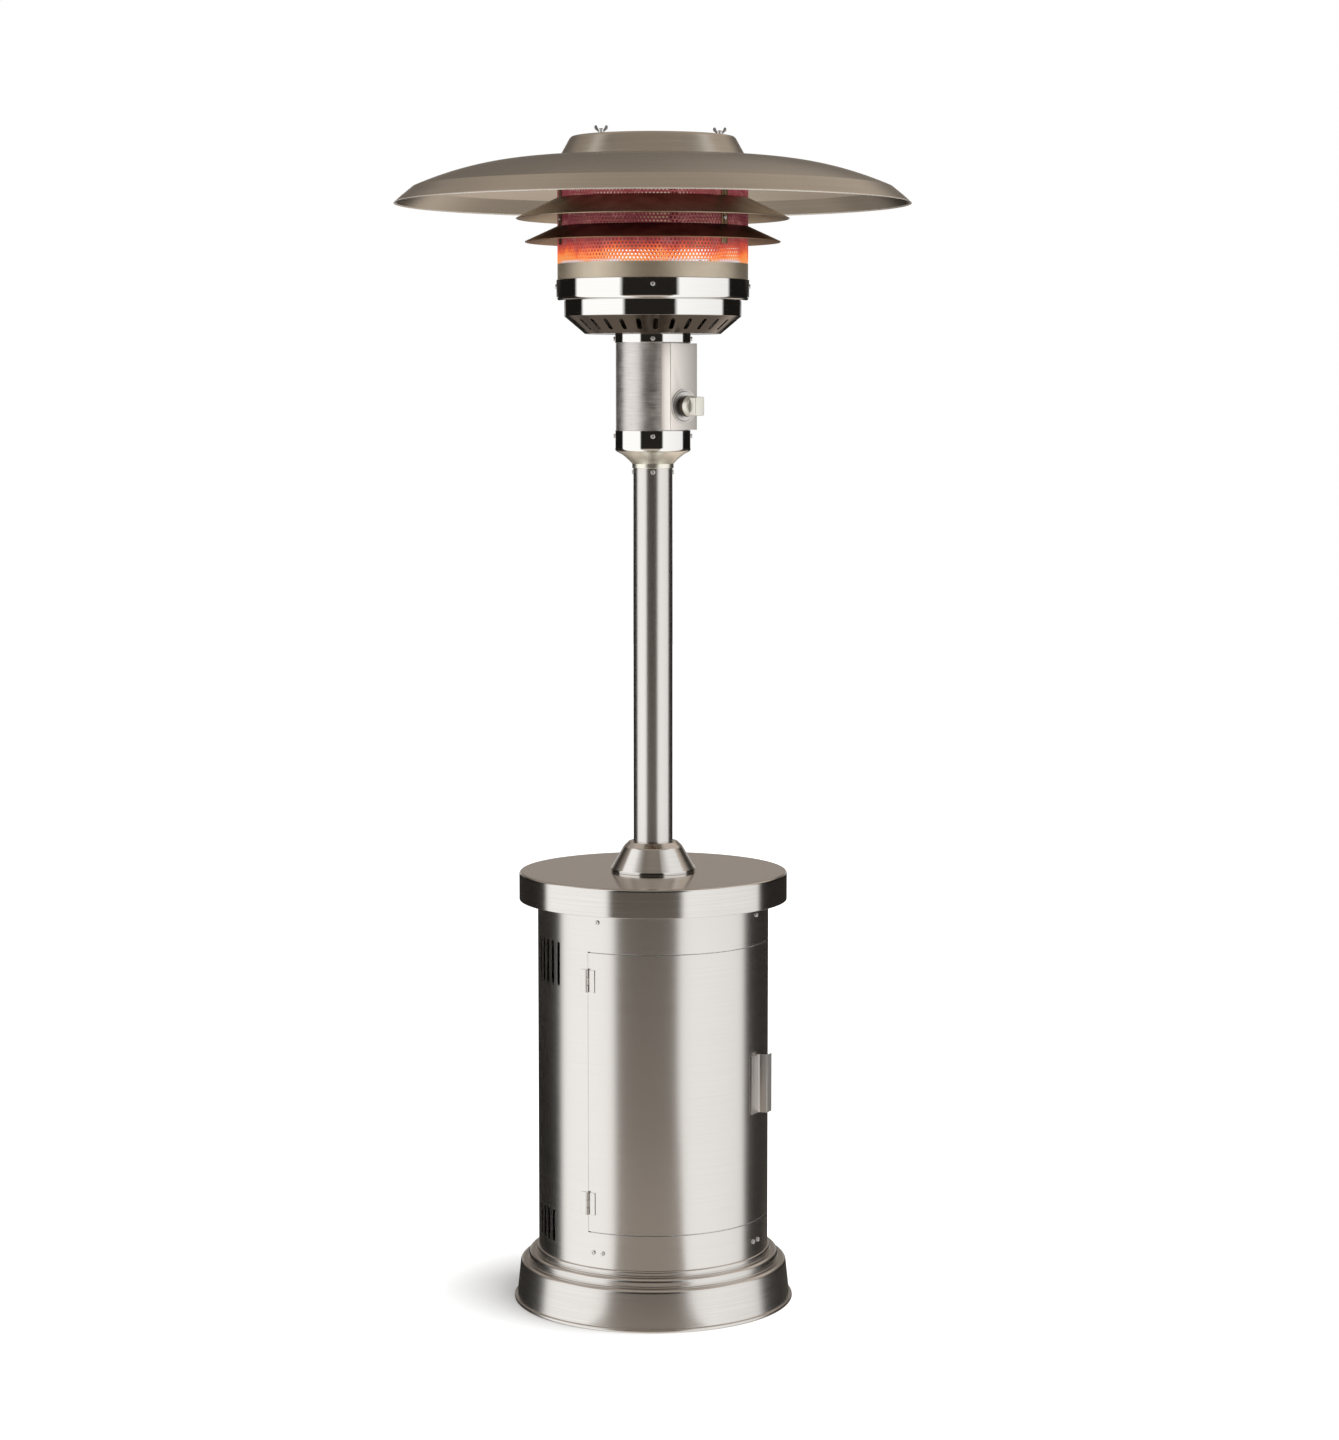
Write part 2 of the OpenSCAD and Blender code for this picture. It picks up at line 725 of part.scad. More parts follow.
module hinge_bore(z_mid) {
  facing(door_hinge_az) translate([0, -hinge_axis_r, z_mid - hinge_h])
    cylinder(r = hinge_pin_r + fit, h = 2 * hinge_h);
}

// Leaf of a hinge on one side of the hinge line, cut clear of the other leaf's knuckles:
// side is -1 on the shell and 1 on the door
module hinge_leaf(side, z_foot, other_knuckles) {
  near = door_hinge_az + side * knuckle_tie_deg;
  far = door_hinge_az + side * leaf_deg;
  difference() {
    arc_plate(cabinet_r + seat / 2, cabinet_r + seat / 2 + hinge_t, min(near, far), max(near, far),
      z_foot, hinge_h);
    for (z = other_knuckles) facing(door_hinge_az) translate([0, -hinge_axis_r, z])
      cylinder(r = knuckle_r + clear, h = knuckle_h + 2 * clear);
  }
}

module hinge_frame_leaves() {
  color("lightgray") for (z = hinge_heights) difference() {
    union() {
      hinge_leaf(-1, z - hinge_h / 2, [z - knuckle_h / 2 - clear]);
      for (z_foot = [z - hinge_h / 2, z + hinge_h / 2 - knuckle_h]) knuckle(z_foot, knuckle_h);
    }
    hinge_bore(z);
  }
}

module hinge_door_leaves() {
  color("lightgray") for (z = hinge_heights) difference() {
    union() {
      hinge_leaf(1, z - hinge_h / 2, [z + knuckle_h / 2, z - knuckle_h * 1.5 - 2 * clear]);
      knuckle(z - knuckle_h / 2, knuckle_h);
    }
    hinge_bore(z);
  }
}

module hinge_pins() {
  color("gray") for (z = hinge_heights)
    facing(door_hinge_az) translate([0, -hinge_axis_r, z - hinge_h / 2]) {
      cylinder(r = hinge_pin_r, h = hinge_h + 0.5);
      translate([0, 0, hinge_h]) cylinder(r = knuckle_r, h = sheet);
    }
}

// Bent strip: a flange on the door, a rise and a lip that the fingers go behind
module door_handle() {
  half = handle_flange_w / 2;
  rise_x = half + handle_rise_w;
  lip_x = rise_x + handle_lip_w;
  out = handle_room + handle_t;
  color("gainsboro") facing(handle_az) translate([0, -cabinet_r - seat / 2, door_mid_z - handle_h / 2])
    linear_extrude(handle_h)
      polygon([[-half, 0], [half, 0], [rise_x, -handle_room], [lip_x, -handle_room], [lip_x, -out],
        [rise_x - handle_t, -out], [half - handle_t, -handle_t], [-half, -handle_t]]);
}

module door_strike() {
  color("gray") arc_plate(cab_in_r - seat / 2 - sheet, cab_in_r - seat / 2,
    door_latch_az - 2 * jamb_deg, door_latch_az - jamb_deg - door_gap_deg / 2,
    door_mid_z - magnet_h / 2, magnet_h);
}

module door_magnet() {
  color([0.2, 0.2, 0.22]) arc_plate(magnet_out_r - magnet_d, magnet_out_r,
    door_latch_az - 2 * jamb_deg, door_latch_az + jamb_deg, door_mid_z - magnet_h / 2, magnet_h);
}

module lid() {
  skirt_foot = lid_top - lid_skirt;
  color("silver") difference() {
    rotate_extrude()
      polygon(concat(
        [[pipe_way_r, lid_top]],
        reversed(arc([lid_r - lid_edge, lid_top - lid_edge], lid_edge, 0, 90)),
        [[lid_r, skirt_foot], [lid_r - lid_t, skirt_foot]],
        arc([lid_r - lid_edge, lid_top - lid_edge], lid_edge - lid_t, 0, 90),
        [[pipe_way_r, cab_top]]));
    foot_bolt_places() cylinder(r = foot_bolt_r + seat, h = 4 * lid_t, center = true);
  }
}

module lid_brackets() {
  color("gray") difference() {
    for (turn = quarter_turns) angle_bracket(bracket_az + turn, cab_top, -lid_bracket_h);
    lid_screw_places() screw_hole(2 * sheet + screw_tail);
  }
}

module lid_stiffener() {
  color("gray") difference() {
    tube(pipe_way_r, stiffener_r, stiffener_foot, cab_top);
    foot_bolt_places() cylinder(r = foot_bolt_r + seat, h = 20 * stiffener_t, center = true);
  }
}

module foot_bolt_places() {
  for (turn = quarter_turns)
    facing(bracket_az + turn) translate([0, -foot_bolt_pcd_r, lid_top]) children();
}

module post_foot_plate() {
  color("dimgray") difference() {
    tube(pipe_way_r, foot_plate_r, lid_top, post_foot);
    foot_bolt_places() cylinder(r = foot_bolt_r + seat, h = 4 * foot_plate_t, center = true);
  }
}

// Bolt through the foot plate, the lid and the stiffener, with its nut below
module post_foot_bolts() {
  grip = foot_plate_t + lid_t + stiffener_t;
  color("gray") foot_bolt_places() translate([0, 0, foot_plate_t]) {
    cylinder(r = bolt_head_r, h = bolt_head_h, $fn = 6);
    translate([0, 0, -grip - bolt_head_h]) cylinder(r = foot_bolt_r, h = grip + bolt_head_h + eps);
    translate([0, 0, -grip - bolt_head_h]) cylinder(r = bolt_head_r, h = bolt_head_h, $fn = 6);
  }
}

// Turned cone that covers the foot of the post
module post_cover() {
  lip = cover_edge;
  top_edge_z = lid_top + cover_h - lip;
  way_r = post_r + seat;
  color("silver") rotate_extrude()
    polygon([[cover_r, lid_top], [cover_r, lid_top + lip], [cover_top_r + lip, top_edge_z - lip],
      [cover_top_r, top_edge_z], [cover_top_r - lip, lid_top + cover_h], [way_r, lid_top + cover_h],
      [way_r, lid_top + cover_h - sheet], [cover_top_r - lip - sheet / 2, lid_top + cover_h - sheet],
      [cover_top_r - sheet, top_edge_z - sheet / 2],
      [cover_top_r + lip - sheet, top_edge_z - lip - sheet / 2],
      [cover_r - sheet, lid_top + lip - sheet / 2], [cover_r - sheet, lid_top]]);
}

module post() {
  color("silver") difference() {
    tube(post_in_r, post_r, post_foot, post_top);
    collar_screw_places() screw_hole(post_wall + screw_tail);
  }
}

// Point on the gas pipe's line
module at_pipe(z) {
  facing(panel_az) translate([0, -pipe_offset, z]) children();
}

module pipe_grommet() {
  color([0.12, 0.12, 0.12]) difference() {
    translate([0, 0, post_foot]) cylinder(r = post_in_r - seat, h = grommet_h);
    at_pipe(post_foot - eps) cylinder(r = pipe_r + seat / 2, h = grommet_h + 2 * eps);
  }
}

module gas_pipe() {
  foot = cab_top - pipe_drop;
  color("peru") at_pipe(foot) difference() {
    cylinder(r = pipe_r, h = valve_foot - foot);
    translate([0, 0, -eps]) cylinder(r = pipe_r - pipe_wall, h = valve_foot - foot + 2 * eps);
  }
}

// Threaded nipple that the supply hose screws on
module gas_inlet() {
  color("goldenrod") at_pipe(cab_top - pipe_drop - inlet_hex_h) difference() {
    union() {
      cylinder(r = inlet_hex_r, h = inlet_hex_h, $fn = 6);
      translate([0, 0, -inlet_len]) cylinder(r = inlet_r, h = inlet_len);
    }
    translate([0, 0, -inlet_len - eps])
      cylinder(r = pipe_r - pipe_wall, h = inlet_len + inlet_hex_h + 2 * eps);
  }
}

module collar_screw_places() {
  for (turn = quarter_turns) radial(head_screw_az + turn, post_r, collar_screw_at) children();
}

// Trim ring where the post meets the cup
module post_collar() {
  color("silver") tube(post_r + seat, collar_r, post_top - collar_h, post_top);
}

// Screws in the post's head, under the collar
module collar_screws() {
  color("gray") collar_screw_places() screw(post_wall + screw_tail);
}

module cup_screw_places() {
  for (turn = quarter_turns) radial(head_screw_az + turn, cup_r, cup_screw_at) children();
}

// Spun cup: a floor on the post's end, a taper and a ring round the housing's foot
module head_cup() {
  way_r = post_in_r - 2;
  color("white") difference() {
    rotate_extrude()
      polygon(concat([[way_r, post_top]],
        swell([collar_r, post_top], [cup_r, cup_ring_foot - cup_wall], cup_cove),
        [[cup_r, cup_top], [cup_in_r, cup_top], [cup_in_r, cup_ring_foot]],
        reversed(swell([collar_r, post_top + 2 * cup_wall], [cup_in_r - cup_wall, cup_ring_foot], cup_cove)),
        [[way_r, post_top + cup_wall]]));
    cup_screw_places() screw_hole(2 * cup_wall);
  }
}

module cup_screws() {
  color("gray") cup_screw_places() screw(cup_wall + seat + sheet + screw_tail);
}

module control_housing() {
  color("silver") difference() {
    tube(housing_in_r, housing_r, housing_foot, housing_top);
    radial(panel_az, housing_r + eps, knob_at)
      translate([0, 0, -housing_r / 2]) cylinder(r = shoulder_r + window_gap, h = housing_r);
    cup_screw_places() screw_hole(cup_wall + 2 * sheet + screw_tail);
    neck_screw_places() screw_hole(cup_wall + 2 * sheet + screw_tail);
  }
}

// Outline of the control box, moved in by a wall
module panel_outline(wall) {
  half = panel_w / 2 - wall;
  front = panel_d - wall;
  edge = panel_round - wall;
  translate([-half, -front + edge]) square([2 * half, front - edge]);
  translate([-half + edge, -front]) square([2 * (half - edge), front]);
  for (side = [-1, 1]) translate([side * (half - edge), -front + edge]) circle(r = edge);
}

module control_box() {
  color("silver") difference() {
    facing(panel_az) translate([0, 0, panel_foot]) difference() {
      linear_extrude(panel_top - panel_foot) panel_outline(0);
      translate([0, 0, sheet]) linear_extrude(panel_top - panel_foot - 2 * sheet) panel_outline(sheet);
    }
    translate([0, 0, panel_foot - eps]) cylinder(r = housing_r + seat, h = panel_top - panel_foot + 2 * eps);
    radial(panel_az, panel_d + eps, knob_at)
      translate([0, 0, -4 * sheet]) cylinder(r = nose_r + seat, h = 5 * sheet);
  }
}

// Round plate behind the knob, with a raised rim
module knob_bezel() {
  rim = bezel_rim;
  color("lightgray") radial(panel_az, panel_d, knob_at) rotate_extrude()
    polygon([[nose_r + seat, 0], [bezel_r, 0], [bezel_r, bezel_t], [bezel_r - rim, bezel_t],
      [bezel_r - 2 * rim, bezel_t / 2], [nose_r + seat, bezel_t / 2]]);
}

// Valve body with its chamber, stem bore and threaded nose
module gas_valve() {
  color("goldenrod") difference() {
    union() {
      facing(panel_az) translate([-valve_w / 2, -valve_front, valve_foot])
        cube([valve_w, valve_front + valve_back, valve_h]);
      radial(panel_az, valve_front - eps, knob_at) cylinder(r = nose_r, h = panel_d - valve_front + eps);
      radial(panel_az, valve_front - eps, knob_at)
        cylinder(r = shoulder_r, h = panel_in_d - valve_front + eps);
    }
    radial(panel_az, chamber_end, knob_at)
      cylinder(r = plunger_r + fit, h = plunger_front - chamber_end);
    radial(panel_az, chamber_end, knob_at) cylinder(r = stem_r + fit, h = panel_d);
  }
}

module valve_plunger() {
  color("peru") difference() {
    radial(panel_az, plunger_end, knob_at) cylinder(r = plunger_r, h = plunger_len);
    radial(panel_az, plunger_rest - pivot_len - play, knob_at) cylinder(r = pivot_r + fit, h = plunger_len);
  }
}

module valve_stem() {
  color("silver") {
    radial(panel_az, stem_end, knob_at) cylinder(r = stem_r, h = knob_bore_end - seat - stem_end);
    radial(panel_az, plunger_rest - pivot_len, knob_at)
      cylinder(r = pivot_r, h = stem_end + eps - plunger_rest + pivot_len);
  }
}

// Push-and-turn knob: a round skirt and an upright block grip
module control_knob() {
  edge = grip_round;
  color("gainsboro") radial(panel_az, knob_foot, knob_at) difference() {
    union() {
      cylinder(r = knob_r, h = knob_skirt_h);
      linear_extrude(knob_len) {
        square([grip_w, grip_h - 2 * edge], center = true);
        square([grip_w - 2 * edge, grip_h], center = true);
        for (x = [-1, 1], y = [-1, 1])
          translate([x * (grip_w / 2 - edge), y * (grip_h / 2 - edge)]) circle(r = edge);
      }
    }
    translate([0, 0, -eps]) cylinder(r = stem_r + fit, h = knob_bore_end - knob_foot + eps);
  }
}

module gas_jet() {
  color("goldenrod") translate([0, 0, valve_top]) {
    cylinder(r = jet_r * 1.4, h = jet_len / 2, $fn = 6);
    cylinder(r1 = jet_r, r2 = jet_r / 2, h = jet_len);
  }
}

module mixing_tube() {
  color("gray") tube(tube_r - sheet, tube_r, tube_foot, emitter_foot);
}

// Anti-tilt switch on the wall opposite the control panel
module tilt_switch() {
  color([0.15, 0.15, 0.16]) intersection() {
    facing(panel_az + 180) translate([-tilt_w / 2, -housing_in_r, knob_at])
      cube([tilt_w, tilt_d, tilt_h]);
    translate([0, 0, knob_at]) cylinder(r = housing_in_r - seat, h = tilt_h);
  }
}

module neck_screw_places() {
  for (turn = quarter_turns) radial(head_screw_az + turn, cup_r, neck_screw_at) children();
}

module bowl_bolt_places() {
  for (turn = quarter_turns)
    facing(head_screw_az + 45 + turn) translate([0, -bowl_bolt_pcd_r, bowl_foot]) children();
}

// Polished ring with an inner flange under the bowl
module neck_ring() {
  color("white") difference() {
    rotate_extrude()
      polygon([[cup_in_r, neck_foot], [cup_r, neck_foot], [cup_r, neck_top],
        [cup_r - neck_flange_w, neck_top], [cup_r - neck_flange_w, neck_top - sheet],
        [cup_in_r, neck_top - sheet]]);
    neck_screw_places() screw_hole(2 * cup_wall);
    bowl_bolt_places() cylinder(r = screw_r + seat, h = 8 * sheet, center = true);
  }
}

module neck_screws() {
  color("gray") neck_screw_places() screw(cup_wall + seat + sheet + screw_tail);
}

// Bowl: a floor, a slotted cone and a polished band
module burner_bowl() {
  way_r = tube_r + 4;
  mid_r = (bowl_foot_r + bowl_r) / 2;
  color("white") difference() {
    rotate_extrude()
      polygon([[way_r, bowl_foot], [bowl_foot_r, bowl_foot], [bowl_r, bowl_cone_top],
        [bowl_r, bowl_top], [bowl_r - sheet, bowl_top], [bowl_r - sheet, bowl_cone_top + sheet],
        [bowl_foot_r - sheet, bowl_foot + sheet], [way_r, bowl_foot + sheet]]);
    for (i = [0 : bowl_slots - 1])
      facing(360 * (i + 0.5) / bowl_slots) translate([0, -mid_r, bowl_foot + bowl_cone_h / 2])
        rotate([180 - bowl_slope, 0, 0]) linear_extrude(8 * sheet, center = true) {
          square([bowl_slot_w, bowl_slot_len - bowl_slot_w], center = true);
          for (end = [-1, 1])
            translate([0, end * (bowl_slot_len - bowl_slot_w) / 2]) circle(d = bowl_slot_w);
        }
    bowl_bolt_places() cylinder(r = screw_r + seat, h = 8 * sheet, center = true);
  }
}

// Bolts that hold the bowl to the neck ring, with their nuts
module bowl_bolts() {
  nut_h = 3;
  color("gray") bowl_bolt_places() translate([0, 0, sheet]) {
    screw(2 * sheet + nut_h);
    translate([0, 0, -2 * sheet - nut_h]) cylinder(r = screw_head_r, h = nut_h, $fn = 6);
  }
}

module burner_screw_places() {
  for (turn = quarter_turns)
    radial(head_screw_az + turn, burner_collar_r, burner_screw_at) children();
}

// Polished collar on the bowl's edge; its flange carries the screen and the burner pan
module burner_collar() {
  color("white") difference() {
    rotate_extrude()
      polygon([[burner_collar_r - collar_flange_w, bowl_top], [burner_collar_r, bowl_top],
        [burner_collar_r, burner_collar_top], [burner_collar_in_r, burner_collar_top],
        [burner_collar_in_r, emitter_foot], [burner_collar_r - collar_flange_w, emitter_foot]]);
    burner_screw_places() screw_hole(2 * sheet);
  }
}

module burner_collar_screws() {
  color("gray") burner_screw_places() screw(sheet + seat + emitter_wall + screw_tail);
}

module burner_pan() {
  color("gray") rotate_extrude()
    polygon([[tube_r - sheet, emitter_foot], [burner_flange_r, emitter_foot],
      [burner_flange_r, pan_floor_top], [burner_pan_r, pan_floor_top], [burner_pan_r, pan_wall_top],
      [burner_pan_r - sheet, pan_wall_top], [burner_pan_r - sheet, pan_floor_top],
      [tube_r - sheet, pan_floor_top]]);
}

module flame_plate() {
  color("burlywood") translate([0, 0, pan_wall_top]) cylinder(r = burner_pan_r, h = flame_plate_t);
}

// Point on the burner pan's flange, outside its wall
module at_pilot(step) {
  facing(panel_az + step * pilot_deg) translate([0, -pilot_ring_r, pan_floor_top]) children();
}

module pilot_burner() {
  color("goldenrod") at_pilot(0) {
    cylinder(r = pilot_r, h = pilot_h);
    translate([0, 0, pilot_h - hood_drop - hood_h]) cylinder(r = hood_r, h = hood_h);
  }
}

module thermocouple() {
  color("peru") at_pilot(1) {
    cylinder(r = sleeve_r, h = pilot_h - probe_tip);
    cylinder(r = probe_r, h = pilot_h);
  }
}

module igniter_electrode() {
  color("white") at_pilot(-1) {
    cylinder(r = ceramic_r, h = pilot_h - electrode_tip);
    cylinder(r = electrode_r, h = pilot_h);
  }
}

module strap_bolt_places() {
  for (turn = third_turns, z = strap_bolt_heights)
    radial(strap_az + turn, strap_out_r, z) children();
}

module emitter_screen() {
  color("orangered") difference() {
    tube(emitter_in_r, emitter_r, emitter_foot, emitter_top_z);
    strap_bolt_places() screw_hole(2 * sheet + screw_tail);
    burner_screw_places() screw_hole(2 * sheet + screw_tail);
  }
}

module stud_places(z) {
  for (turn = third_turns) facing(stud_az + turn) translate([0, -stud_pcd_r, z]) children();
}

module emitter_top() {
  color("gray") difference() {
    translate([0, 0, emitter_top_z]) cylinder(r = emitter_r, h = emitter_top_t);
    stud_places(emitter_top_z - eps) cylinder(r = stud_r + seat, h = emitter_top_t + 2 * eps);
  }
}

module ring_straps() {
  color("gray") difference() {
    for (turn = third_turns)
      arc_plate(strap_in_r, strap_out_r, strap_az + turn - strap_deg / 2, strap_az + turn + strap_deg / 2,
        strap_top - strap_len, strap_len);
    strap_bolt_places() screw_hole(2 * sheet);
  }
}

module strap_bolts() {
  color("silver") strap_bolt_places() screw(sheet + seat + emitter_wall + screw_tail);
}

// Cone ring round the emitter
module deflector(drop, w, h) {
  z = emitter_top_z - drop;
  rotate_extrude()
    polygon([[ring_in_r, z], [ring_in_r + w, z - h], [ring_in_r + w, z - h - sheet],
      [ring_in_r, z - 1.4 * sheet]]);
}

module lower_deflector() {
  color("saddlebrown") deflector(lower_ring_drop, lower_ring_w, lower_ring_h);
}

module upper_deflector() {
  color("rosybrown") deflector(upper_ring_drop, upper_ring_w, upper_ring_h);
}

// Outline of the reflector's upper face, from its inner edge to its lip
function reflector_line(down) = concat(
  [[reflector_in_r, cap_foot - down]],
  swell([dome_r, cap_foot - down], [crease_r, crease_z - down], dome_swell),
  [[reflector_r - lip_w, lip_z - down], [reflector_r, lip_z - lip_h - (down > 0 ? down - sheet / 2 : 0)]]);

module reflector() {
  color("silver") rotate_extrude()
    polygon(concat(reflector_line(0), reversed(reflector_line(sheet))));
}

// Cap on the reflector: a foot flange, a cone and a flat top
module reflector_cap() {
  edge = cap_edge;
  color("silver") difference() {
    rotate_extrude()
      polygon([[reflector_in_r, cap_foot], [cap_r, cap_foot], [cap_top_r + edge / 2, cap_top - edge],
        [cap_top_r - edge / 2, cap_top], [0, cap_top], [0, cap_under], [cap_top_r - edge, cap_under],
        [cap_top_r - sheet, cap_top - edge - sheet / 2], [cap_r - 2 * sheet, cap_foot + sheet],
        [reflector_in_r, cap_foot + sheet]]);
    stud_places(cap_under - eps) cylinder(r = stud_r + seat, h = sheet + 2 * eps);
  }
}

// Stud with its head under the emitter's top plate
module reflector_studs() {
  head_foot = emitter_top_z - stud_head_h;
  color("gray") {
    stud_places(head_foot) cylinder(r = 2 * stud_r, h = stud_head_h, $fn = 6);
    stud_places(head_foot) cylinder(r = stud_r, h = stud_top - head_foot);
  }
}

module stud_spacers() {
  color("gray") stud_places(emitter_plate_top) difference() {
    cylinder(r = 2 * stud_r, h = spacer_h);
    translate([0, 0, -eps]) cylinder(r = stud_r + seat, h = spacer_h + 2 * eps);
  }
}

// Wing nuts that clamp the reflector
module wing_nuts() {
  wing_len = (wing_span - wing_hub_r) / 2;
  wing_at = wing_hub_h - wing_t + wing_h / 2;
  color("silver") for (turn = third_turns) facing(stud_az + turn)
    translate([0, -stud_pcd_r, cap_top]) facing(wing_az - stud_az - turn) difference() {
    union() {
      cylinder(r = wing_hub_r, h = wing_hub_h);
      for (side = [-1, 1])
        translate([side * wing_span / 4, 0, wing_at]) rotate([0, -side * wing_lean, 0])
          cube([wing_len, wing_t, wing_h], center = true);
    }
    translate([0, 0, -eps]) cylinder(r = stud_r + seat / 2, h = 4 * wing_hub_h);
  }
}

base_ring();
base_pan();
base_brackets();
foot_screws();
cabinet_shell();
door_jamb();
hinge_frame_leaves();
hinge_pins();
door_magnet();
lid();
lid_brackets();
lid_screws();
lid_stiffener();
post_foot_plate();
post_foot_bolts();
post_cover();
post();
pipe_grommet();
gas_pipe();
gas_inlet();
post_collar();
collar_screws();
head_cup();
cup_screws();
control_housing();
control_box();
knob_bezel();
gas_valve();
gas_jet();
mixing_tube();
tilt_switch();
neck_ring();
neck_screws();
burner_bowl();
bowl_bolts();
burner_collar();
burner_collar_screws();
burner_pan();
flame_plate();
pilot_burner();
thermocouple();
igniter_electrode();
emitter_screen();
emitter_top();
ring_straps();
strap_bolts();
lower_deflector();
upper_deflector();
reflector();
reflector_cap();
reflector_studs();
stud_spacers();
wing_nuts();
cabinet_door();
hinge_door_leaves();
door_handle();
door_strike();
valve_plunger();
valve_stem();
control_knob();
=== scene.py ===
"""Looks of a free-standing gas patio heater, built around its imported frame.

+Z is up and the origin is on the floor at the middle of the base. Azimuths are degrees from -Y,
where the cabinet door faces, towards +X. Sizes in the classes are millimetres, meshes are metres.
"""

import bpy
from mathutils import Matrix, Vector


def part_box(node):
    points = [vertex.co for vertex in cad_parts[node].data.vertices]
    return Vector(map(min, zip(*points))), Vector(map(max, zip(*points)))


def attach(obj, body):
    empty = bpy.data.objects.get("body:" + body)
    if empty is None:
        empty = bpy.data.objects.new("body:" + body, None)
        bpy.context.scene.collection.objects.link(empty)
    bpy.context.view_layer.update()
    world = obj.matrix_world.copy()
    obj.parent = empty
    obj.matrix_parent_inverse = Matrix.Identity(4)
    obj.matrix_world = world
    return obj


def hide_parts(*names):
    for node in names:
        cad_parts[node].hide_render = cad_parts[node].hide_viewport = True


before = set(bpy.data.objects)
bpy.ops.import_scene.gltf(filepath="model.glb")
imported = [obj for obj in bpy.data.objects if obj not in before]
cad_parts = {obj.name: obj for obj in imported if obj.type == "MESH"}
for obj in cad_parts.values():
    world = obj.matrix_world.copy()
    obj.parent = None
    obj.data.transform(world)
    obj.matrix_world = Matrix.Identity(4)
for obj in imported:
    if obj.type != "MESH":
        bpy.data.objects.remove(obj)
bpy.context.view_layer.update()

import logging
import math
from dataclasses import dataclass
from enum import Enum
from functools import reduce
from typing import Iterable, Optional, Sequence

import bmesh
import bpy
from mathutils import Matrix, Vector

Point = tuple[float, float]
Corner = tuple[float, float, float]
Colour = tuple[float, float, float]
Stop = tuple[float, Colour]
Socket = bpy.types.NodeSocket
Solid = bmesh.types.BMesh

LOG = logging.getLogger("patio_heater")
MM = 0.001
# An edge that turns by more than SHARP stays sharp, faces that turn by less than FLAT become one,
# and a corner whose half angle is over STRAIGHT isn't rounded.
SHARP = math.radians(32)
FLAT = math.radians(0.4)
STRAIGHT = math.radians(89)
# Metres within which points are merged: of a node's triangles, at a pole and along a seam.
WELD = 2e-6
SPECK = 1e-7
SEAM = 1e-5
# Metres: the least radius of a pattern, and the radius of wall that the lines' sizes are for.
AXIS_GAP = 1e-4
LINED_WALL = 0.1
UP = (0.0, 0.0, 1.0)
WHITE: Colour = (1.0, 1.0, 1.0)
RISING: Point = (0.0, 1.0)
FALLING: Point = (1.0, 0.0)
# The range that most of a noise lies in.
NOISE: Point = (0.3, 0.7)
# Millimetres: usual sheet, usual rounding of its edges, and the farthest guard beside a rounding.
SHEET = 1.5
EDGE = 0.4
GUARD = 0.4
# Shares of the shorter side at a corner: the most that a rounding takes, and the guard beside it.
ROUND_SHARE = 0.48
GUARD_SHARE = 0.01
# Azimuth that the control panel faces, and the directions out of it and along it.
PANEL_AZ = 22.0
PANEL_OUT = (math.sin(math.radians(PANEL_AZ)), -math.cos(math.radians(PANEL_AZ)), 0.0)
PANEL_ALONG = (math.cos(math.radians(PANEL_AZ)), math.sin(math.radians(PANEL_AZ)), 0.0)


class Body(Enum):
    """Bodies of the frame that a piece can ride on."""

    HEATER = "heater"
    DOOR = "door"
    PLUNGER = "plunger"
    KNOB = "knob"


class Grain(Enum):
    """How the fine lines of a metal finish run."""

    ROUND = "round the main axis"
    UPRIGHT = "up and down a round wall"
    LEVEL = "across a flat sheet"


@dataclass(frozen=True)
class Span:
    """Outer radius, foot and top of a node of the frame, in millimetres."""

    r: float
    foot: float
    top: float

    @classmethod
    def of(cls, node: str) -> "Span":
        """Reads a node's reach from the main axis and its lowest and highest height."""
        low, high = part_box(node)
        return cls(max(high.x, -low.x) / MM, low.z / MM, high.z / MM)

    @property
    def middle(self) -> float:
        """Height of the node's middle."""
        return (self.foot + self.top) / 2


class Wiring:
    """Node tree under construction."""

    def __init__(self, tree: bpy.types.NodeTree) -> None:
        """Takes a tree and empties it."""
        self.tree = tree
        tree.nodes.clear()

    def add(self, kind: str, **settings: object) -> bpy.types.Node:
        """Adds a node.

        Args:
            kind: Blender's name of the node type.
            settings: properties of the node.
        Returns:
            The node.
        """
        node = self.tree.nodes.new(kind)
        for key, value in settings.items():
            setattr(node, key, value)
        return node

    def join(self, source: object, target: Socket) -> None:
        """Feeds an input.

        Args:
            source: socket to link it to, or plain value to set it to.
            target: the input.
        """
        if isinstance(source, Socket):
            self.tree.links.new(source, target)
        else:
            target.default_value = source

    def calc(self, operation: str, first: object, second: object = 0.0) -> Socket:
        """Adds a Math node.

        Args:
            operation: name of the operation.
            first: first socket or number.
            second: second socket or number.
        Returns:
            The result.
        """
        node = self.add("ShaderNodeMath", operation=operation)
        self.join(first, node.inputs[0])
        self.join(second, node.inputs[1])
        return node.outputs[0]

    def product(self, *factors: object) -> Socket:
        """Multiplies sockets and numbers and returns the result."""
        return reduce(lambda one, two: self.calc("MULTIPLY", one, two), factors)

    def total(self, *terms: object) -> Socket:
        """Adds sockets and numbers and returns the result."""
        return reduce(lambda one, two: self.calc("ADD", one, two), terms)


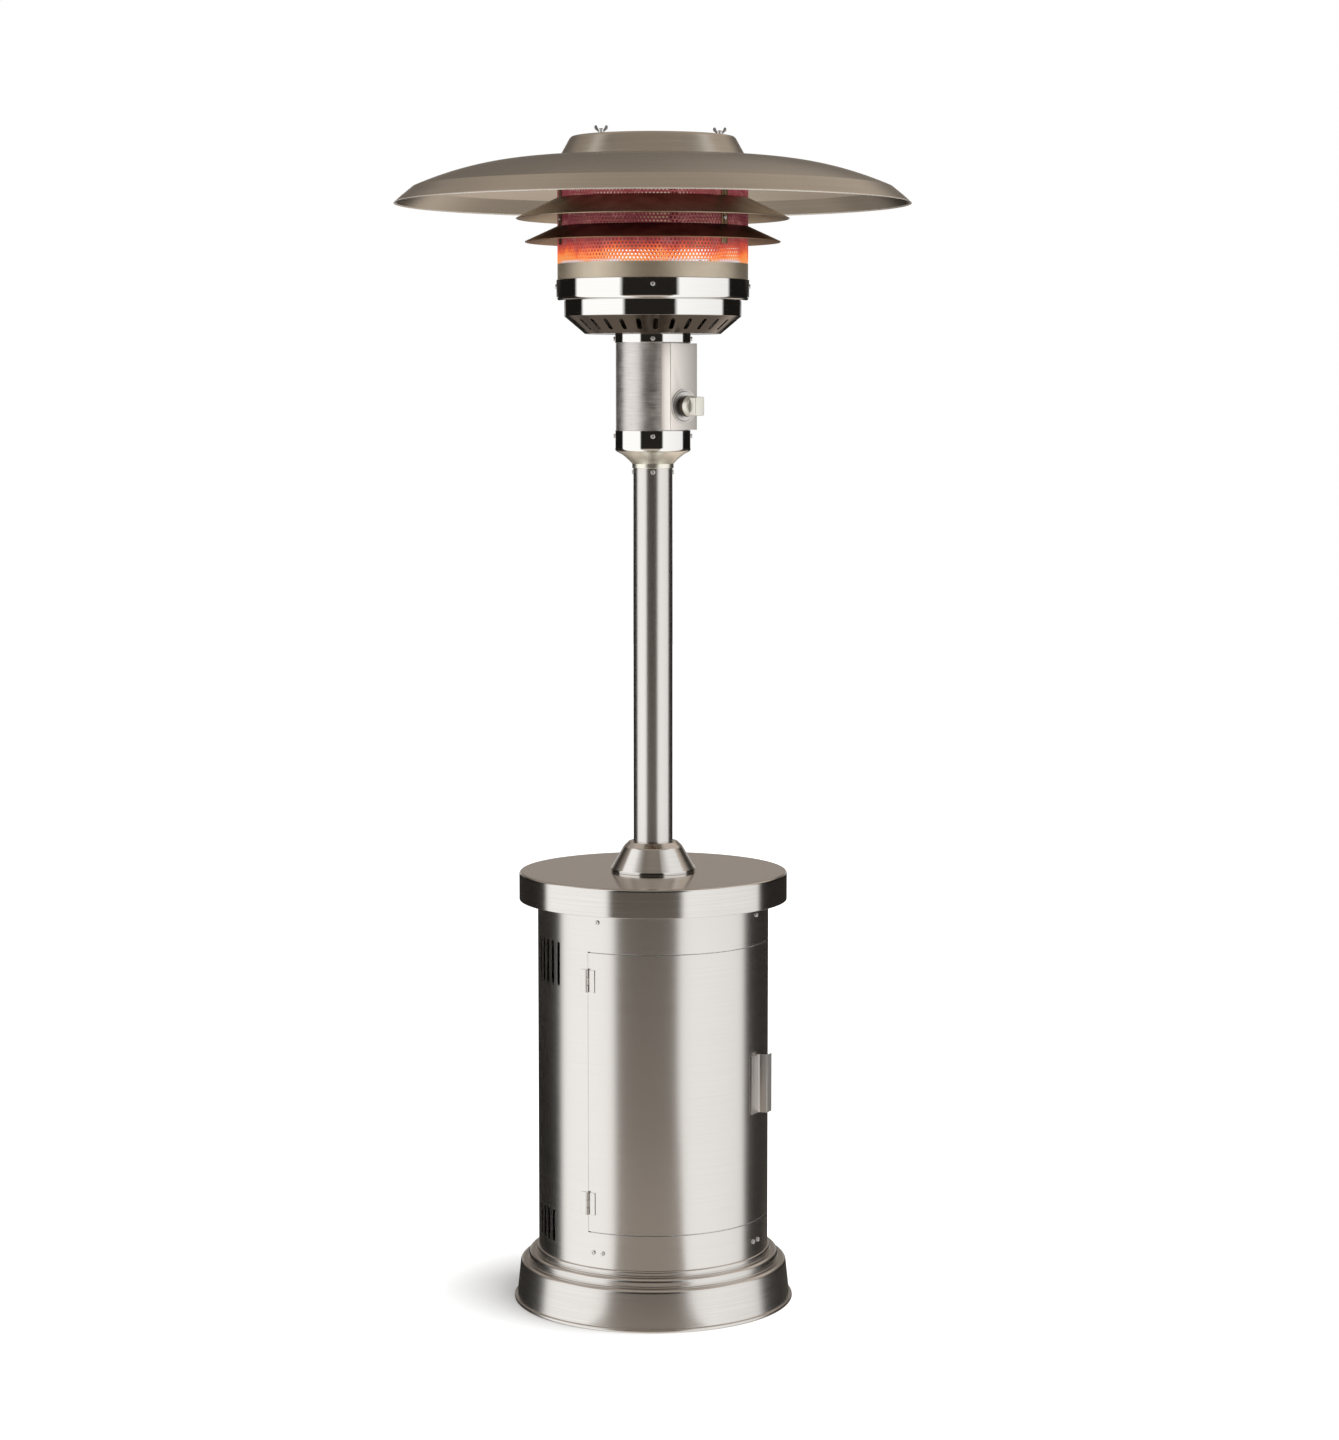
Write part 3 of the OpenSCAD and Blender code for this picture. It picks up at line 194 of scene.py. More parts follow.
class Shading(Wiring):
    """Node tree of one material under construction."""

    def __init__(self, name: str) -> None:
        """Starts a material with one Principled shader.

        Args:
            name: name of the material.
        """
        self.material = bpy.data.materials.new(name)
        self.material.use_nodes = True
        super().__init__(self.material.node_tree)
        self.shader = self.add("ShaderNodeBsdfPrincipled")
        self.output = self.add("ShaderNodeOutputMaterial")
        self.join(self.shader.outputs[0], self.output.inputs["Surface"])

    def feed(self, **inputs: object) -> None:
        """Links or sets inputs of the shader, with underscores for the spaces in their names."""
        for name, source in inputs.items():
            self.join(source, self.shader.inputs[name.replace("_", " ")])

    def emit(self, colour: object) -> bpy.types.Material:
        """Lets the material give off a colour instead of shading it.

        Args:
            colour: the colour, which the renderer doesn't sample as a lamp.
        Returns:
            The material.
        """
        glow = self.add("ShaderNodeEmission")
        self.join(colour, glow.inputs["Color"])
        self.join(glow.outputs[0], self.output.inputs["Surface"])
        self.material.cycles.emission_sampling = "NONE"
        return self.material

    def place(self) -> Socket:
        """Object coordinates."""
        return self.add("ShaderNodeTexCoord").outputs["Object"]

    def axes(self) -> list[Socket]:
        """Object coordinates apart, as x, y and z.

        Returns:
            The three sockets.
        """
        split = self.add("ShaderNodeSeparateXYZ")
        self.join(self.place(), split.inputs[0])
        return list(split.outputs)

    def reach(self) -> Socket:
        """Distance from the main axis."""
        squares = [self.calc("POWER", part, 2.0) for part in self.axes()[:2]]
        return self.calc("SQRT", self.total(*squares))

    def noise(self, vector: object, scale: float, detail: float, w: object = None) -> Socket:
        """Adds a noise texture.

        Args:
            vector: coordinates.
            scale: cells per unit of the coordinates.
            detail: layers of finer noise.
            w: fourth coordinate, if any.
        Returns:
            The noise from 0 to 1.
        """
        node = self.add("ShaderNodeTexNoise", noise_dimensions="3D" if w is None else "4D")
        for name, source in (("Vector", vector), ("Scale", scale), ("Detail", detail), ("W", w)):
            if source is not None:
                self.join(source, node.inputs[name])
        return node.outputs["Fac"]

    def grain(self, run: Grain, pitch: float, length: float) -> Socket:
        """Fine lines of a brushed or turned surface.

        Args:
            run: direction of the lines.
            pitch: spacing of the lines in millimetres, on a round wall at the radius LINED_WALL.
            length: length of a line, likewise.
        Returns:
            The lines' height from 0 to 1.
        """
        x, y, z = self.axes()
        fine, slow = 1 / (pitch * MM), 1 / (length * MM)
        merged = self.add("ShaderNodeCombineXYZ")
        if run is Grain.LEVEL:
            for source, rate, target in zip((x, y, z), (slow, fine, fine), merged.inputs):
                self.join(self.product(source, rate), target)
            return self.noise(merged.outputs[0], 1.0, 2.0)
        around, up = (slow * LINED_WALL, fine) if run is Grain.ROUND else (fine * LINED_WALL, slow)
        radius = self.calc("MAXIMUM", self.reach(), AXIS_GAP)
        for source, target in zip((x, y), merged.inputs):
            self.join(self.product(self.calc("DIVIDE", source, radius), around), target)
        self.join(self.product(z, up), merged.inputs[2])
        return self.noise(merged.outputs[0], 1.0, 3.0, self.product(radius, up))

    def cloud(self, size: float, detail: float = 4.0) -> Socket:
        """Soft patches of a size in millimetres, from 0 to 1."""
        return self.noise(self.place(), 1 / (size * MM), detail)

    def ramp(self, factor: object, stops: Sequence[Stop]) -> Socket:
        """Adds a colour ramp.

        Args:
            factor: where on the ramp, from 0 to 1.
            stops: place and linear colour of each stop.
        Returns:
            The colour.
        """
        node = self.add("ShaderNodeValToRGB")
        elements = node.color_ramp.elements
        while len(elements) < len(stops):
            elements.new(0.5)
        for element, (place, colour) in zip(elements, stops):
            element.position = place
            element.color = (*colour, 1.0)
        self.join(factor, node.inputs[0])
        return node.outputs["Color"]

    def mapped(self, source: object, start: Point, end: Point) -> Socket:
        """Maps one range to another.

        Args:
            source: value to map.
            start: lowest and highest value coming in.
            end: lowest and highest value going out.
        Returns:
            The mapped value, kept inside its range.
        """
        node = self.add("ShaderNodeMapRange")
        self.join(source, node.inputs["Value"])
        for name, value in zip(("From Min", "From Max", "To Min", "To Max"), (*start, *end)):
            node.inputs[name].default_value = value
        return node.outputs["Result"]

    def eased(self, angle: object, edges: Point, end: Point) -> Socket:
        """Maps an angle in radians between two edges in degrees."""
        return self.mapped(angle, [math.radians(edge) for edge in edges], end)

    def blend(self, factor: object, first: object, second: object, mode: str = "MIX") -> Socket:
        """Mixes two colours.

        Args:
            factor: share of the second.
            first: first colour.
            second: second colour.
            mode: how they mix.
        Returns:
            The mixed colour.
        """
        node = self.add("ShaderNodeMix", data_type="RGBA", blend_type=mode)
        self.join(factor, node.inputs[0])
        for source, target in ((first, node.inputs[6]), (second, node.inputs[7])):
            self.join((*source, 1.0) if isinstance(source, tuple) else source, target)
        return node.outputs[2]

    def bump(self, height: object, depth: float) -> None:
        """Gives the shader a relief.

        Args:
            height: height from 0 to 1.
            depth: its depth in millimetres.
        """
        node = self.add("ShaderNodeBump")
        for name, source in (("Distance", depth * MM), ("Strength", 1.0), ("Height", height)):
            self.join(source, node.inputs[name])
        self.feed(Normal=node.outputs[0])


@dataclass(frozen=True)
class Finish:
    """Finish of a surface; its material is made once."""

    name: str
    slot: str

    @property
    def label(self) -> str:
        """Name of the finish's material, which no slot of the frame has."""
        return "finish." + self.name

    def material(self) -> bpy.types.Material:
        """Returns the finish's material, made at its first use."""
        return bpy.data.materials.get(self.label) or self.make()

    def make(self) -> bpy.types.Material:
        """Makes the material."""
        raise NotImplementedError


@dataclass(frozen=True)
class Metal(Finish):
    """Bare metal with fine lines, faint smudges and small colour changes."""

    tone: Colour = (0.66, 0.635, 0.605)
    rough: Point = (0.27, 0.37)
    grain: Grain = Grain.ROUND
    pitch: float = 0.9
    length: float = 90.0
    relief: float = 0.001
    shade: float = 0.9
    smudge: float = 120.0
    line_share: float = 0.7
    worn: Point = (0.36, 0.62)

    def make(self) -> bpy.types.Material:
        """Makes the material from lines, smudges and the tone.

        Returns:
            The material.
        """
        shading = Shading(self.label)
        lines = shading.grain(self.grain, self.pitch, self.length)
        patches = shading.cloud(self.smudge)
        dark = tuple(channel * self.shade for channel in self.tone)
        worn = shading.total(shading.product(lines, self.line_share),
                             shading.product(patches, 1 - self.line_share))
        colour = shading.ramp(worn, tuple(zip(self.worn, (dark, self.tone))))
        colour, rough = self.zoned(shading, colour, shading.mapped(worn, NOISE, self.rough))
        shading.feed(Metallic=1.0, Base_Color=colour, Roughness=rough)
        if self.relief:
            shading.bump(lines, self.relief)
        return shading.material

    def zoned(self, shading: Shading, colour: Socket, rough: Socket) -> tuple[Socket, Socket]:
        """Colour and roughness as they are; a finish with zones changes them."""
        return colour, rough


@dataclass(frozen=True)
class ZonedMetal(Metal):
    """Metal with another tone and sheen at its near end along a line through the part; on the bowl, the
    knob, the control box and the reflector's lip that tone is painted shade or a painted highlight.
    """

    line: Corner = UP
    border: Point = (0.0, 1.0)
    near_tone: Colour = (0.5, 0.5, 0.5)
    near_rough: float = 0.3

    def zoned(self, shading: Shading, colour: Socket, rough: Socket) -> tuple[Socket, Socket]:
        """Blends the near end's tone and sheen in.

        Args:
            shading: tree of the material.
            colour: colour of the far end.
            rough: roughness of the far end.
        Returns:
            The blended colour and roughness.
        """
        along = shading.add("ShaderNodeVectorMath", operation="DOT_PRODUCT")
        shading.join(shading.place(), along.inputs[0])
        along.inputs[1].default_value = self.line
        far = shading.mapped(along.outputs["Value"], [edge * MM for edge in self.border], RISING)
        near = shading.product(shading.calc("SUBTRACT", 1.0, far), self.near_rough)
        return shading.blend(far, self.near_tone, colour), shading.total(shading.product(far, rough), near)


@dataclass(frozen=True)
class HeatTint(Finish):
    """Metal that heat has coloured from straw to brown, darker towards its inner edge."""

    cool: Colour = (0.40, 0.31, 0.22)
    hot: Colour = (0.13, 0.06, 0.035)
    warm: Colour = (1.05, 0.95, 0.9)
    stops: Corner = (0.05, 0.5, 0.95)
    inner: float = 154.0
    outer: float = 218.0
    rough: Point = (0.34, 0.46)
    patch: float = 38.0
    drift: Point = (-0.28, 0.28)
    pitch: float = 1.4
    length: float = 120.0
    relief: float = 0.002

    def make(self) -> bpy.types.Material:
        """Makes the material from the distance to the axis, patches and lines.

        Returns:
            The material.
        """
        shading = Shading(self.label)
        reach = shading.mapped(shading.reach(), (self.inner * MM, self.outer * MM), RISING)
        lines = shading.grain(Grain.ROUND, self.pitch, self.length)
        mixed = shading.total(reach, shading.mapped(shading.cloud(self.patch), NOISE, self.drift))
        middle = tuple((c + h) / 2 * f for c, h, f in zip(self.cool, self.hot, self.warm))
        shading.feed(Metallic=1.0, Roughness=shading.mapped(lines, NOISE, self.rough),
                     Base_Color=shading.ramp(mixed, tuple(zip(self.stops, (self.hot, middle, self.cool)))))
        shading.bump(lines, self.relief)
        return shading.material


@dataclass(frozen=True)
class Glow(Finish):
    """Perforated screen that glows from its foot upwards; its border stays dull."""

    foot: float = 1687.0
    top: float = 1822.0
    strength: float = 1.0
    heat: tuple[Stop, ...] = (
        (0.0, (0.84, 0.31, 0.10)), (0.07, (0.90, 0.24, 0.055)), (0.13, (0.80, 0.13, 0.04)),
        (0.19, (0.50, 0.06, 0.04)), (0.27, (0.22, 0.035, 0.04)), (0.40, (0.11, 0.017, 0.025)),
        (0.62, (0.06, 0.010, 0.018)), (0.86, (0.18, 0.03, 0.04)), (1.0, (0.24, 0.05, 0.055)))
    flames: tuple[tuple[float, float, Point], ...] = ((30.0, 5.0, (-0.05, 0.05)), (9.0, 4.0, (-0.03, 0.03)))
    pale: Colour = (0.34, 0.13, 0.13)
    pale_size: float = 16.0
    pale_range: Point = (0.5, 0.72)
    pale_share: float = 0.5
    pale_rise: Point = (0.10, 0.2)
    spark: Colour = (0.62, 0.64, 0.70)
    spark_size: float = 60.0
    spark_range: Point = (0.46, 0.6)
    spark_rise: Point = (0.014, 0.03)
    bare: tuple[Stop, ...] = ((0.3, (0.54, 0.46, 0.35)), (0.7, (0.66, 0.58, 0.46)))
    bare_size: float = 50.0
    burnt: Colour = (0.16, 0.07, 0.055)
    rough: Point = (0.44, 0.56)
    pitch: float = 1.2
    length: float = 120.0
    relief: float = 0.002

    def make(self) -> bpy.types.Material:
        """Makes the material from the height and from drifting patches.

        Returns:
            The material.
        """
        shading = Shading(self.label)
        z = shading.axes()[2]
        rise = shading.mapped(z, (self.foot * MM, self.top * MM), RISING)
        drift = [shading.mapped(shading.cloud(size, detail), NOISE, reach)
                 for size, detail, reach in self.flames]
        heat = shading.ramp(shading.total(rise, *drift), self.heat)
        pale = shading.mapped(shading.cloud(self.pale_size, 5.0), self.pale_range, (0.0, self.pale_share))
        above = shading.mapped(rise, self.pale_rise, RISING)
        heat = shading.blend(shading.product(pale, above), heat, self.pale)
        spark = shading.mapped(shading.cloud(self.spark_size, 2.0), self.spark_range, RISING)
        row = shading.mapped(rise, self.spark_rise, FALLING)
        heat = shading.blend(shading.product(spark, row), heat, self.spark)
        border = shading.mapped(z, [(self.foot + step) * MM for step in (-1.0, 1.0)], RISING)
        lines = shading.grain(Grain.ROUND, self.pitch, self.length)
        bare = shading.ramp(shading.cloud(self.bare_size), self.bare)
        shading.feed(Metallic=1.0, Base_Color=shading.blend(border, bare, self.burnt),
                     Roughness=shading.mapped(lines, NOISE, self.rough), Emission_Strength=self.strength,
                     Emission_Color=shading.blend(border, (0.0, 0.0, 0.0), heat))
        shading.bump(lines, self.relief)
        return shading.material


@dataclass(frozen=True)
class Moulded(Finish):
    """Paint, plastic, rubber or ceramic: a fine pebble and faint patches."""

    tone: Colour = (0.03, 0.03, 0.032)
    rough: Point = (0.45, 0.62)
    pebble: float = 0.8
    patch: float = 45.0
    shade: float = 0.8
    relief: float = 0.03

    def make(self) -> bpy.types.Material:
        """Makes the material from its pebble and patches.

        Returns:
            The material.
        """
        shading = Shading(self.label)
        patches = shading.cloud(self.patch)
        dark = tuple(channel * self.shade for channel in self.tone)
        shading.feed(Base_Color=shading.ramp(patches, tuple(zip(NOISE, (dark, self.tone)))),
                     Roughness=shading.mapped(patches, NOISE, self.rough))
        shading.bump(shading.cloud(self.pebble, 2.0), self.relief)
        return shading.material


STEEL = "brushed_steel"
POLISH: dict[str, object] = {"slot": "polished_steel", "tone": (0.77, 0.76, 0.74), "rough": (0.035, 0.075),
                             "relief": 0.0002, "shade": 0.97}
SPUN: dict[str, object] = {"slot": "reflector_metal", "tone": (0.47, 0.43, 0.37), "rough": (0.21, 0.28),
                           "pitch": 1.6, "relief": 0.0003, "shade": 0.9}
BRUSHED = Metal("turned_steel", STEEL, rough=(0.11, 0.16), relief=0.0003)
BASE_BRUSHED = Metal("base_steel", STEEL, rough=(0.21, 0.27), relief=0.0)
TUBE_BRUSHED = Metal("drawn_steel", STEEL, rough=(0.24, 0.28), grain=Grain.UPRIGHT, length=900.0,
                     relief=0.0, shade=0.96, smudge=400.0)
CABINET_BRUSHED = Metal("cabinet_steel", STEEL, rough=(0.19, 0.25), pitch=0.7, length=160.0, relief=0.0,
                        shade=0.95)
SATIN = Metal("satin_steel", STEEL, rough=(0.40, 0.46), grain=Grain.UPRIGHT, shade=0.95, relief=0.0004)
# Painted light: the control box gets a bright near tone towards one end along the panel, so its side face
# is lighter and its front fades darker across.
BOX_SATIN_PAINTED_LIGHT = ZonedMetal("box_steel_painted_light", STEEL, tone=(0.44, 0.415, 0.385), rough=(0.48, 0.54),
                       grain=Grain.UPRIGHT, shade=0.95, relief=0.0004, line=PANEL_ALONG,
                       border=(-28.0, 28.0), near_tone=(0.87, 0.82, 0.77), near_rough=0.46)
HOUSING_BRUSHED = Metal("housing_steel", STEEL, tone=(0.72, 0.685, 0.655), rough=(0.26, 0.54), pitch=0.8,
                        length=45.0, relief=0.0010, shade=0.72, smudge=20.0)
POLISHED = Metal("polished", **POLISH)
CUP_POLISHED = ZonedMetal("cup_steel", **POLISH, border=(1386.0, 1393.0), near_tone=(0.80, 0.78, 0.68),
                          near_rough=0.3)
# Painted shade: the bowl's cone and floor, below the band, get a dark near tone that stands in for the dim
# reflection of a polished cone.
BOWL_WITH_PAINTED_SHADE = ZonedMetal("bowl_steel_painted_shade", **POLISH, border=(1603.0, 1605.0), near_tone=(0.20, 0.175, 0.15),
                           near_rough=0.15)
DISH = Metal("dish", **SPUN)
# Painted highlight: the lowest edge of the reflector's lip gets a pale near tone, a bright line along the
# lip.
DISH_PAINTED_RIM_HIGHLIGHT = ZonedMetal("dish_painted_rim_highlight", **SPUN, border=(1783.6, 1784.2), near_tone=(0.82, 0.79, 0.74),
                      near_rough=0.5)
DEFLECTOR = HeatTint("tinted_steel", "deflector_metal", cool=(0.46, 0.38, 0.28), hot=(0.20, 0.13, 0.075))
DEFLECTOR_LOW = HeatTint("burnt_steel", "deflector_metal", cool=(0.33, 0.20, 0.12),
                         hot=(0.05, 0.018, 0.009), outer=205.0)
GLOW = Glow("glow", "emitter_metal")
BURNER = HeatTint("sooty_steel", "burner_steel", cool=(0.42, 0.38, 0.33), hot=(0.20, 0.14, 0.11),
                  inner=60.0, outer=150.0)
PLATED = Metal("plated", "plated_steel", tone=(0.80, 0.79, 0.77), rough=(0.38, 0.5), grain=Grain.LEVEL,
               pitch=0.5, length=6.0, shade=0.85, smudge=20.0)
PAINTED = Moulded("paint", "painted_steel", tone=(0.045, 0.045, 0.047), rough=(0.38, 0.55))
BRASS = Metal("machined_brass", "brass", tone=(0.66, 0.46, 0.19), rough=(0.2, 0.34), pitch=0.6, shade=0.8,
              smudge=12.0)
COPPER = Metal("drawn_copper", "copper", tone=(0.72, 0.38, 0.24), rough=(0.24, 0.40), grain=Grain.UPRIGHT,
               shade=0.74, smudge=18.0)
RUBBER = Moulded("rubber", "black_rubber", tone=(0.022, 0.022, 0.023), rough=(0.6, 0.8))
PLASTIC = Moulded("plastic", "black_plastic", rough=(0.35, 0.5))
CERAMIC = Moulded("ceramic", "white_ceramic", tone=(0.76, 0.73, 0.67), rough=(0.5, 0.7))
# Painted shade: the knob's skirt nearest the panel gets a dark near tone, the shade in the gap between knob
# and bezel.
KNOB = ZonedMetal("satin_knob_painted_shade", "knob_metal", tone=(0.80, 0.78, 0.71), rough=(0.40, 0.48),
                  grain=Grain.LEVEL, pitch=0.6, length=14.0, smudge=14.0, line=PANEL_OUT,
                  border=(87.6, 88.4), near_tone=(0.07, 0.055, 0.045), near_rough=0.32)


def polar(azimuth: float, r: float, z: float) -> Vector:
    """Point in metres at an azimuth, a radius and a height in millimetres."""
    turn = math.radians(azimuth)
    return Vector((r * math.sin(turn), -r * math.cos(turn), z)) * MM


def turn_about(axis: str, degrees: float) -> Matrix:
    """Turn about an axis."""
    return Matrix.Rotation(math.radians(degrees), 4, axis)


def outward(azimuth: float, r: float, z: float) -> Matrix:
    """Place whose +Z points out from the main axis and whose +Y points up."""
    return turn_about("Z", azimuth) @ Matrix.Translation(Vector((0, -r, z)) * MM) @ turn_about("X", 90)


def rounded(corners: Sequence[Corner], steps: int) -> list[Point]:
    """Closed outline with rounded corners.

    Args:
        corners: two coordinates and the rounding's radius of each corner, in order.
        steps: faces of each rounding.
    Returns:
        The outline's points, with one beside each rounding that keeps the flats flat.
    """
    points: list[Point] = []
    for i, (x, y, radius) in enumerate(corners):
        here = Vector((x, y))
        back = Vector(corners[i - 1][:2]) - here
        on = Vector(corners[(i + 1) % len(corners)][:2]) - here
        half = back.angle(on) / 2
        if radius <= 0 or half > STRAIGHT:
            points.append((x, y))
            continue
        room = min(back.length, on.length)
        reach = min(radius / math.tan(half), ROUND_SHARE * room)
        radius = reach * math.tan(half)
        guard = reach + min(GUARD, GUARD_SHARE * room)
        back.normalize()
        on.normalize()
        centre = here + (back + on).normalized() * (radius / math.sin(half))
        first = here + back * reach - centre
        sweep = first.angle_signed(here + on * reach - centre)
        points.append(tuple(here + back * guard))
        for k in range(steps + 1):
            spoke = first.copy()
            spoke.rotate(Matrix.Rotation(-sweep * k / steps, 2))
            points.append(tuple(centre + spoke))
        points.append(tuple(here + on * guard))
    return points


def ring(inner: float, outer: float, foot: float, top: float, edges: Point = (EDGE, EDGE)) -> list[Corner]:
    """Section of a plain ring.

    Args:
        inner: inner radius.
        outer: outer radius.
        foot: height of its underside.
        top: height of its upper side.
        edges: rounding of its inner and of its outer edges.
    Returns:
        Radius, height and rounding of each corner.
    """
    lip, rim = edges
    return [(inner, foot, lip), (outer, foot, rim), (outer, top, rim), (inner, top, lip)]


def swollen(start: Point, end: Point, swell: float, shares: Iterable[float]) -> list[Corner]:
    """Line that swells upwards between its ends.

    Args:
        start: radius and height of its start.
        end: radius and height of its end.
        swell: height of the swelling at the middle.
        shares: share of the way at each corner.
    Returns:
        Radius, height and no rounding of each corner.
    """
    wide, high = end[0] - start[0], end[1] - start[1]
    return [(start[0] + wide * t, start[1] + high * t + 4 * swell * t * (1 - t), 0.0) for t in shares]


def bridge(solid: Solid, one: Sequence[bmesh.types.BMVert], two: Sequence[bmesh.types.BMVert]) -> None:
    """Spans two closed rows of vertices with faces.

    Args:
        solid: the mesh that gets the faces.
        one: first row.
        two: second row.
    """
    for i in range(len(one)):
        k = (i + 1) % len(one)
        solid.faces.new((one[i], one[k], two[k], two[i]))


def lathe(outline: Sequence[Point], sides: int, sweep: Optional[Point] = None) -> Solid:
    """Turns a closed outline about the main axis.

    Args:
        outline: radius and height of its points, in millimetres.
        sides: faces round the axis.
        sweep: first and last azimuth of a part turn.
    Returns:
        A closed mesh.
    """
    solid = bmesh.new()
    start, end = sweep or (0.0, 360.0)
    rings = [[solid.verts.new(polar(start + (end - start) * i / sides, r, z)) for r, z in outline]
             for i in range(sides + (1 if sweep else 0))]
    for i in range(sides):
        bridge(solid, rings[i], rings[(i + 1) % len(rings)])
    if sweep:
        solid.faces.new(rings[0])
        solid.faces.new(rings[-1])
    bmesh.ops.remove_doubles(solid, verts=solid.verts, dist=SPECK)
    bmesh.ops.recalc_face_normals(solid, faces=solid.faces)
    return solid


def prism(outline: Sequence[Point], foot: float, top: float) -> Solid:
    """Raises a flat outline.

    Args:
        outline: x and y of its points, in millimetres.
        foot: height of its underside.
        top: height of its upper side.
    Returns:
        A closed mesh.
    """
    solid = bmesh.new()
    lower, upper = ([solid.verts.new(Vector((x, y, z)) * MM) for x, y in outline] for z in (foot, top))
    solid.faces.new(lower)
    solid.faces.new(upper)
    bridge(solid, lower, upper)
    bmesh.ops.recalc_face_normals(solid, faces=solid.faces)
    return solid


def moved(solid: Solid, place: Matrix) -> Solid:
    """Takes a mesh to a place and returns it."""
    bmesh.ops.transform(solid, matrix=place, verts=solid.verts)
    return solid


def joined(solids: Iterable[Solid]) -> Solid:
    """Puts meshes together.

    Args:
        solids: the meshes, which are used up.
    Returns:
        One mesh with all of them.
    """
    whole = bmesh.new()
    for solid in solids:
        part = bpy.data.meshes.new("part")
        solid.to_mesh(part)
        solid.free()
        whole.from_mesh(part)
        bpy.data.meshes.remove(part)
    return whole


def copied(node: str) -> Solid:
    """Copies a node's mesh.

    Args:
        node: name of the node.
    Returns:
        The mesh, with its loose triangles merged and its flats whole.
    """
    solid = bmesh.new()
    solid.from_mesh(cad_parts[node].data)
    bmesh.ops.remove_doubles(solid, verts=solid.verts, dist=WELD)
    bmesh.ops.dissolve_limit(solid, angle_limit=FLAT, verts=solid.verts, edges=solid.edges)
    return solid


def as_object(name: str, solid: Solid, material: Optional[bpy.types.Material] = None) -> bpy.types.Object:
    """Makes an object of a mesh.

    Args:
        name: name of the object.
        solid: the mesh, which is used up.
        material: its material, if it has one.
    Returns:
        The object, linked to the scene.
    """
    mesh = bpy.data.meshes.new(name)
    solid.to_mesh(mesh)
    solid.free()
    if material:
        mesh.materials.append(material)
    obj = bpy.data.objects.new(name, mesh)
    bpy.context.scene.collection.objects.link(obj)
    return obj


def settled(obj: bpy.types.Object) -> Solid:
    """Turns an object with its modifiers into a plain mesh.

    Args:
        obj: the object, which is removed.
    Returns:
        The mesh.
    """
    bpy.context.view_layer.update()
    seen = obj.evaluated_get(bpy.context.evaluated_depsgraph_get())
    meshes = (obj.data, bpy.data.meshes.new_from_object(seen))
    solid = bmesh.new()
    solid.from_mesh(meshes[1])
    bpy.data.objects.remove(obj)
    for mesh in meshes:
        bpy.data.meshes.remove(mesh)
    return solid


def modified(solid: Solid, kind: str, **settings: object) -> Solid:
    """Runs a modifier on a mesh.

    Args:
        solid: the mesh, which is used up.
        kind: Blender's name of the modifier's type.
        settings: properties of the modifier.
    Returns:
        The modified mesh.
    """
    obj = as_object("trial", solid)
    modifier = obj.modifiers.new(kind, kind)
    for key, value in settings.items():
        setattr(modifier, key, value)
    return settled(obj)


def softened(solid: Solid, width: float, steps: int = 2) -> Solid:
    """Rounds the sharp edges of a mesh by a width in millimetres and returns it."""
    return modified(solid, "BEVEL", width=width * MM, segments=steps, limit_method="ANGLE",
                    angle_limit=SHARP)


def thickened(solid: Solid, wall: float) -> Solid:
    """Gives an open sheet a wall in millimetres that grows inwards from its face, and returns it."""
    return modified(solid, "SOLIDIFY", thickness=wall * MM, offset=-1.0)


class GrowTree(Wiring):
    """Geometry node tree under construction."""

    def __init__(self, name: str) -> None:
        """Starts a tree that takes and gives geometry and takes a material.

        Args:
            name: name of the tree.
        """
        super().__init__(bpy.data.node_groups.new(name, "GeometryNodeTree"))
        self.tree.interface.new_socket("Geometry", in_out="OUTPUT", socket_type="NodeSocketGeometry")
        self.entry = self.add("NodeGroupInput")
        self.exit = self.add("NodeGroupOutput")
        self.geometry = self.size("Geometry", "Geometry")
        self.finish = self.size("Finish", "Material")

    def size(self, name: str, kind: str = "Float") -> Socket:
        """Adds a named input of a kind and returns its socket."""
        self.tree.interface.new_socket(name, in_out="INPUT", socket_type="NodeSocket" + kind)
        return self.entry.outputs[name]

    def fed(self, kind: str, inputs: dict[str, object], **settings: object) -> Sequence[Socket]:
        """Adds a node and feeds it.

        Args:
            kind: Blender's name of the node type.
            inputs: socket or value for each named input.
            settings: properties of the node.
        Returns:
            The node's outputs.
        """
        node = self.add(kind, **settings)
        for name, source in inputs.items():
            fitting = (target for target in node.inputs if target.enabled and target.name == name)
            self.join(source, next(fitting))
        return node.outputs

    def step(self, kind: str, inputs: dict[str, object], **settings: object) -> Socket:
        """Adds a node, feeds it and returns the first output in use."""
        return next(output for output in self.fed(kind, inputs, **settings) if output.enabled)

    def here(self) -> Socket:
        """Place of each element."""
        return self.step("GeometryNodeInputPosition", {})

    def spin(self, angle: object) -> Socket:
        """Turn about the z axis by an angle in radians."""
        return self.step("FunctionNodeAxisAngleToRotation", {"Axis": UP, "Angle": angle})

    def close(self, geometry: Socket) -> None:
        """Ends the tree with real geometry that carries the finish.

        Args:
            geometry: what the tree has made.
        """
        real = self.step("GeometryNodeRealizeInstances", {"Geometry": geometry})
        dressed = self.step("GeometryNodeSetMaterial", {"Geometry": real, "Material": self.finish})
        self.join(dressed, self.exit.inputs[0])

    def grow(self, solid: Solid, finish: Finish, **sizes: object) -> Solid:
        """Runs the tree on a mesh.

        Args:
            solid: the mesh that comes in, which is used up.
            finish: finish of what grows.
            sizes: value of each named input, with underscores for spaces.
        Returns:
            The grown mesh.
        """
        obj = as_object("trial", solid)
        modifier = obj.modifiers.new("grow", "NODES")
        modifier.node_group = self.tree
        values = {name.replace("_", " "): value for name, value in sizes.items()}
        values["Finish"] = finish.material()
        for item in self.tree.interface.items_tree:
            if item.item_type == "SOCKET" and item.in_out == "INPUT" and item.name in values:
                modifier[item.identifier] = values[item.name]
        return settled(obj)


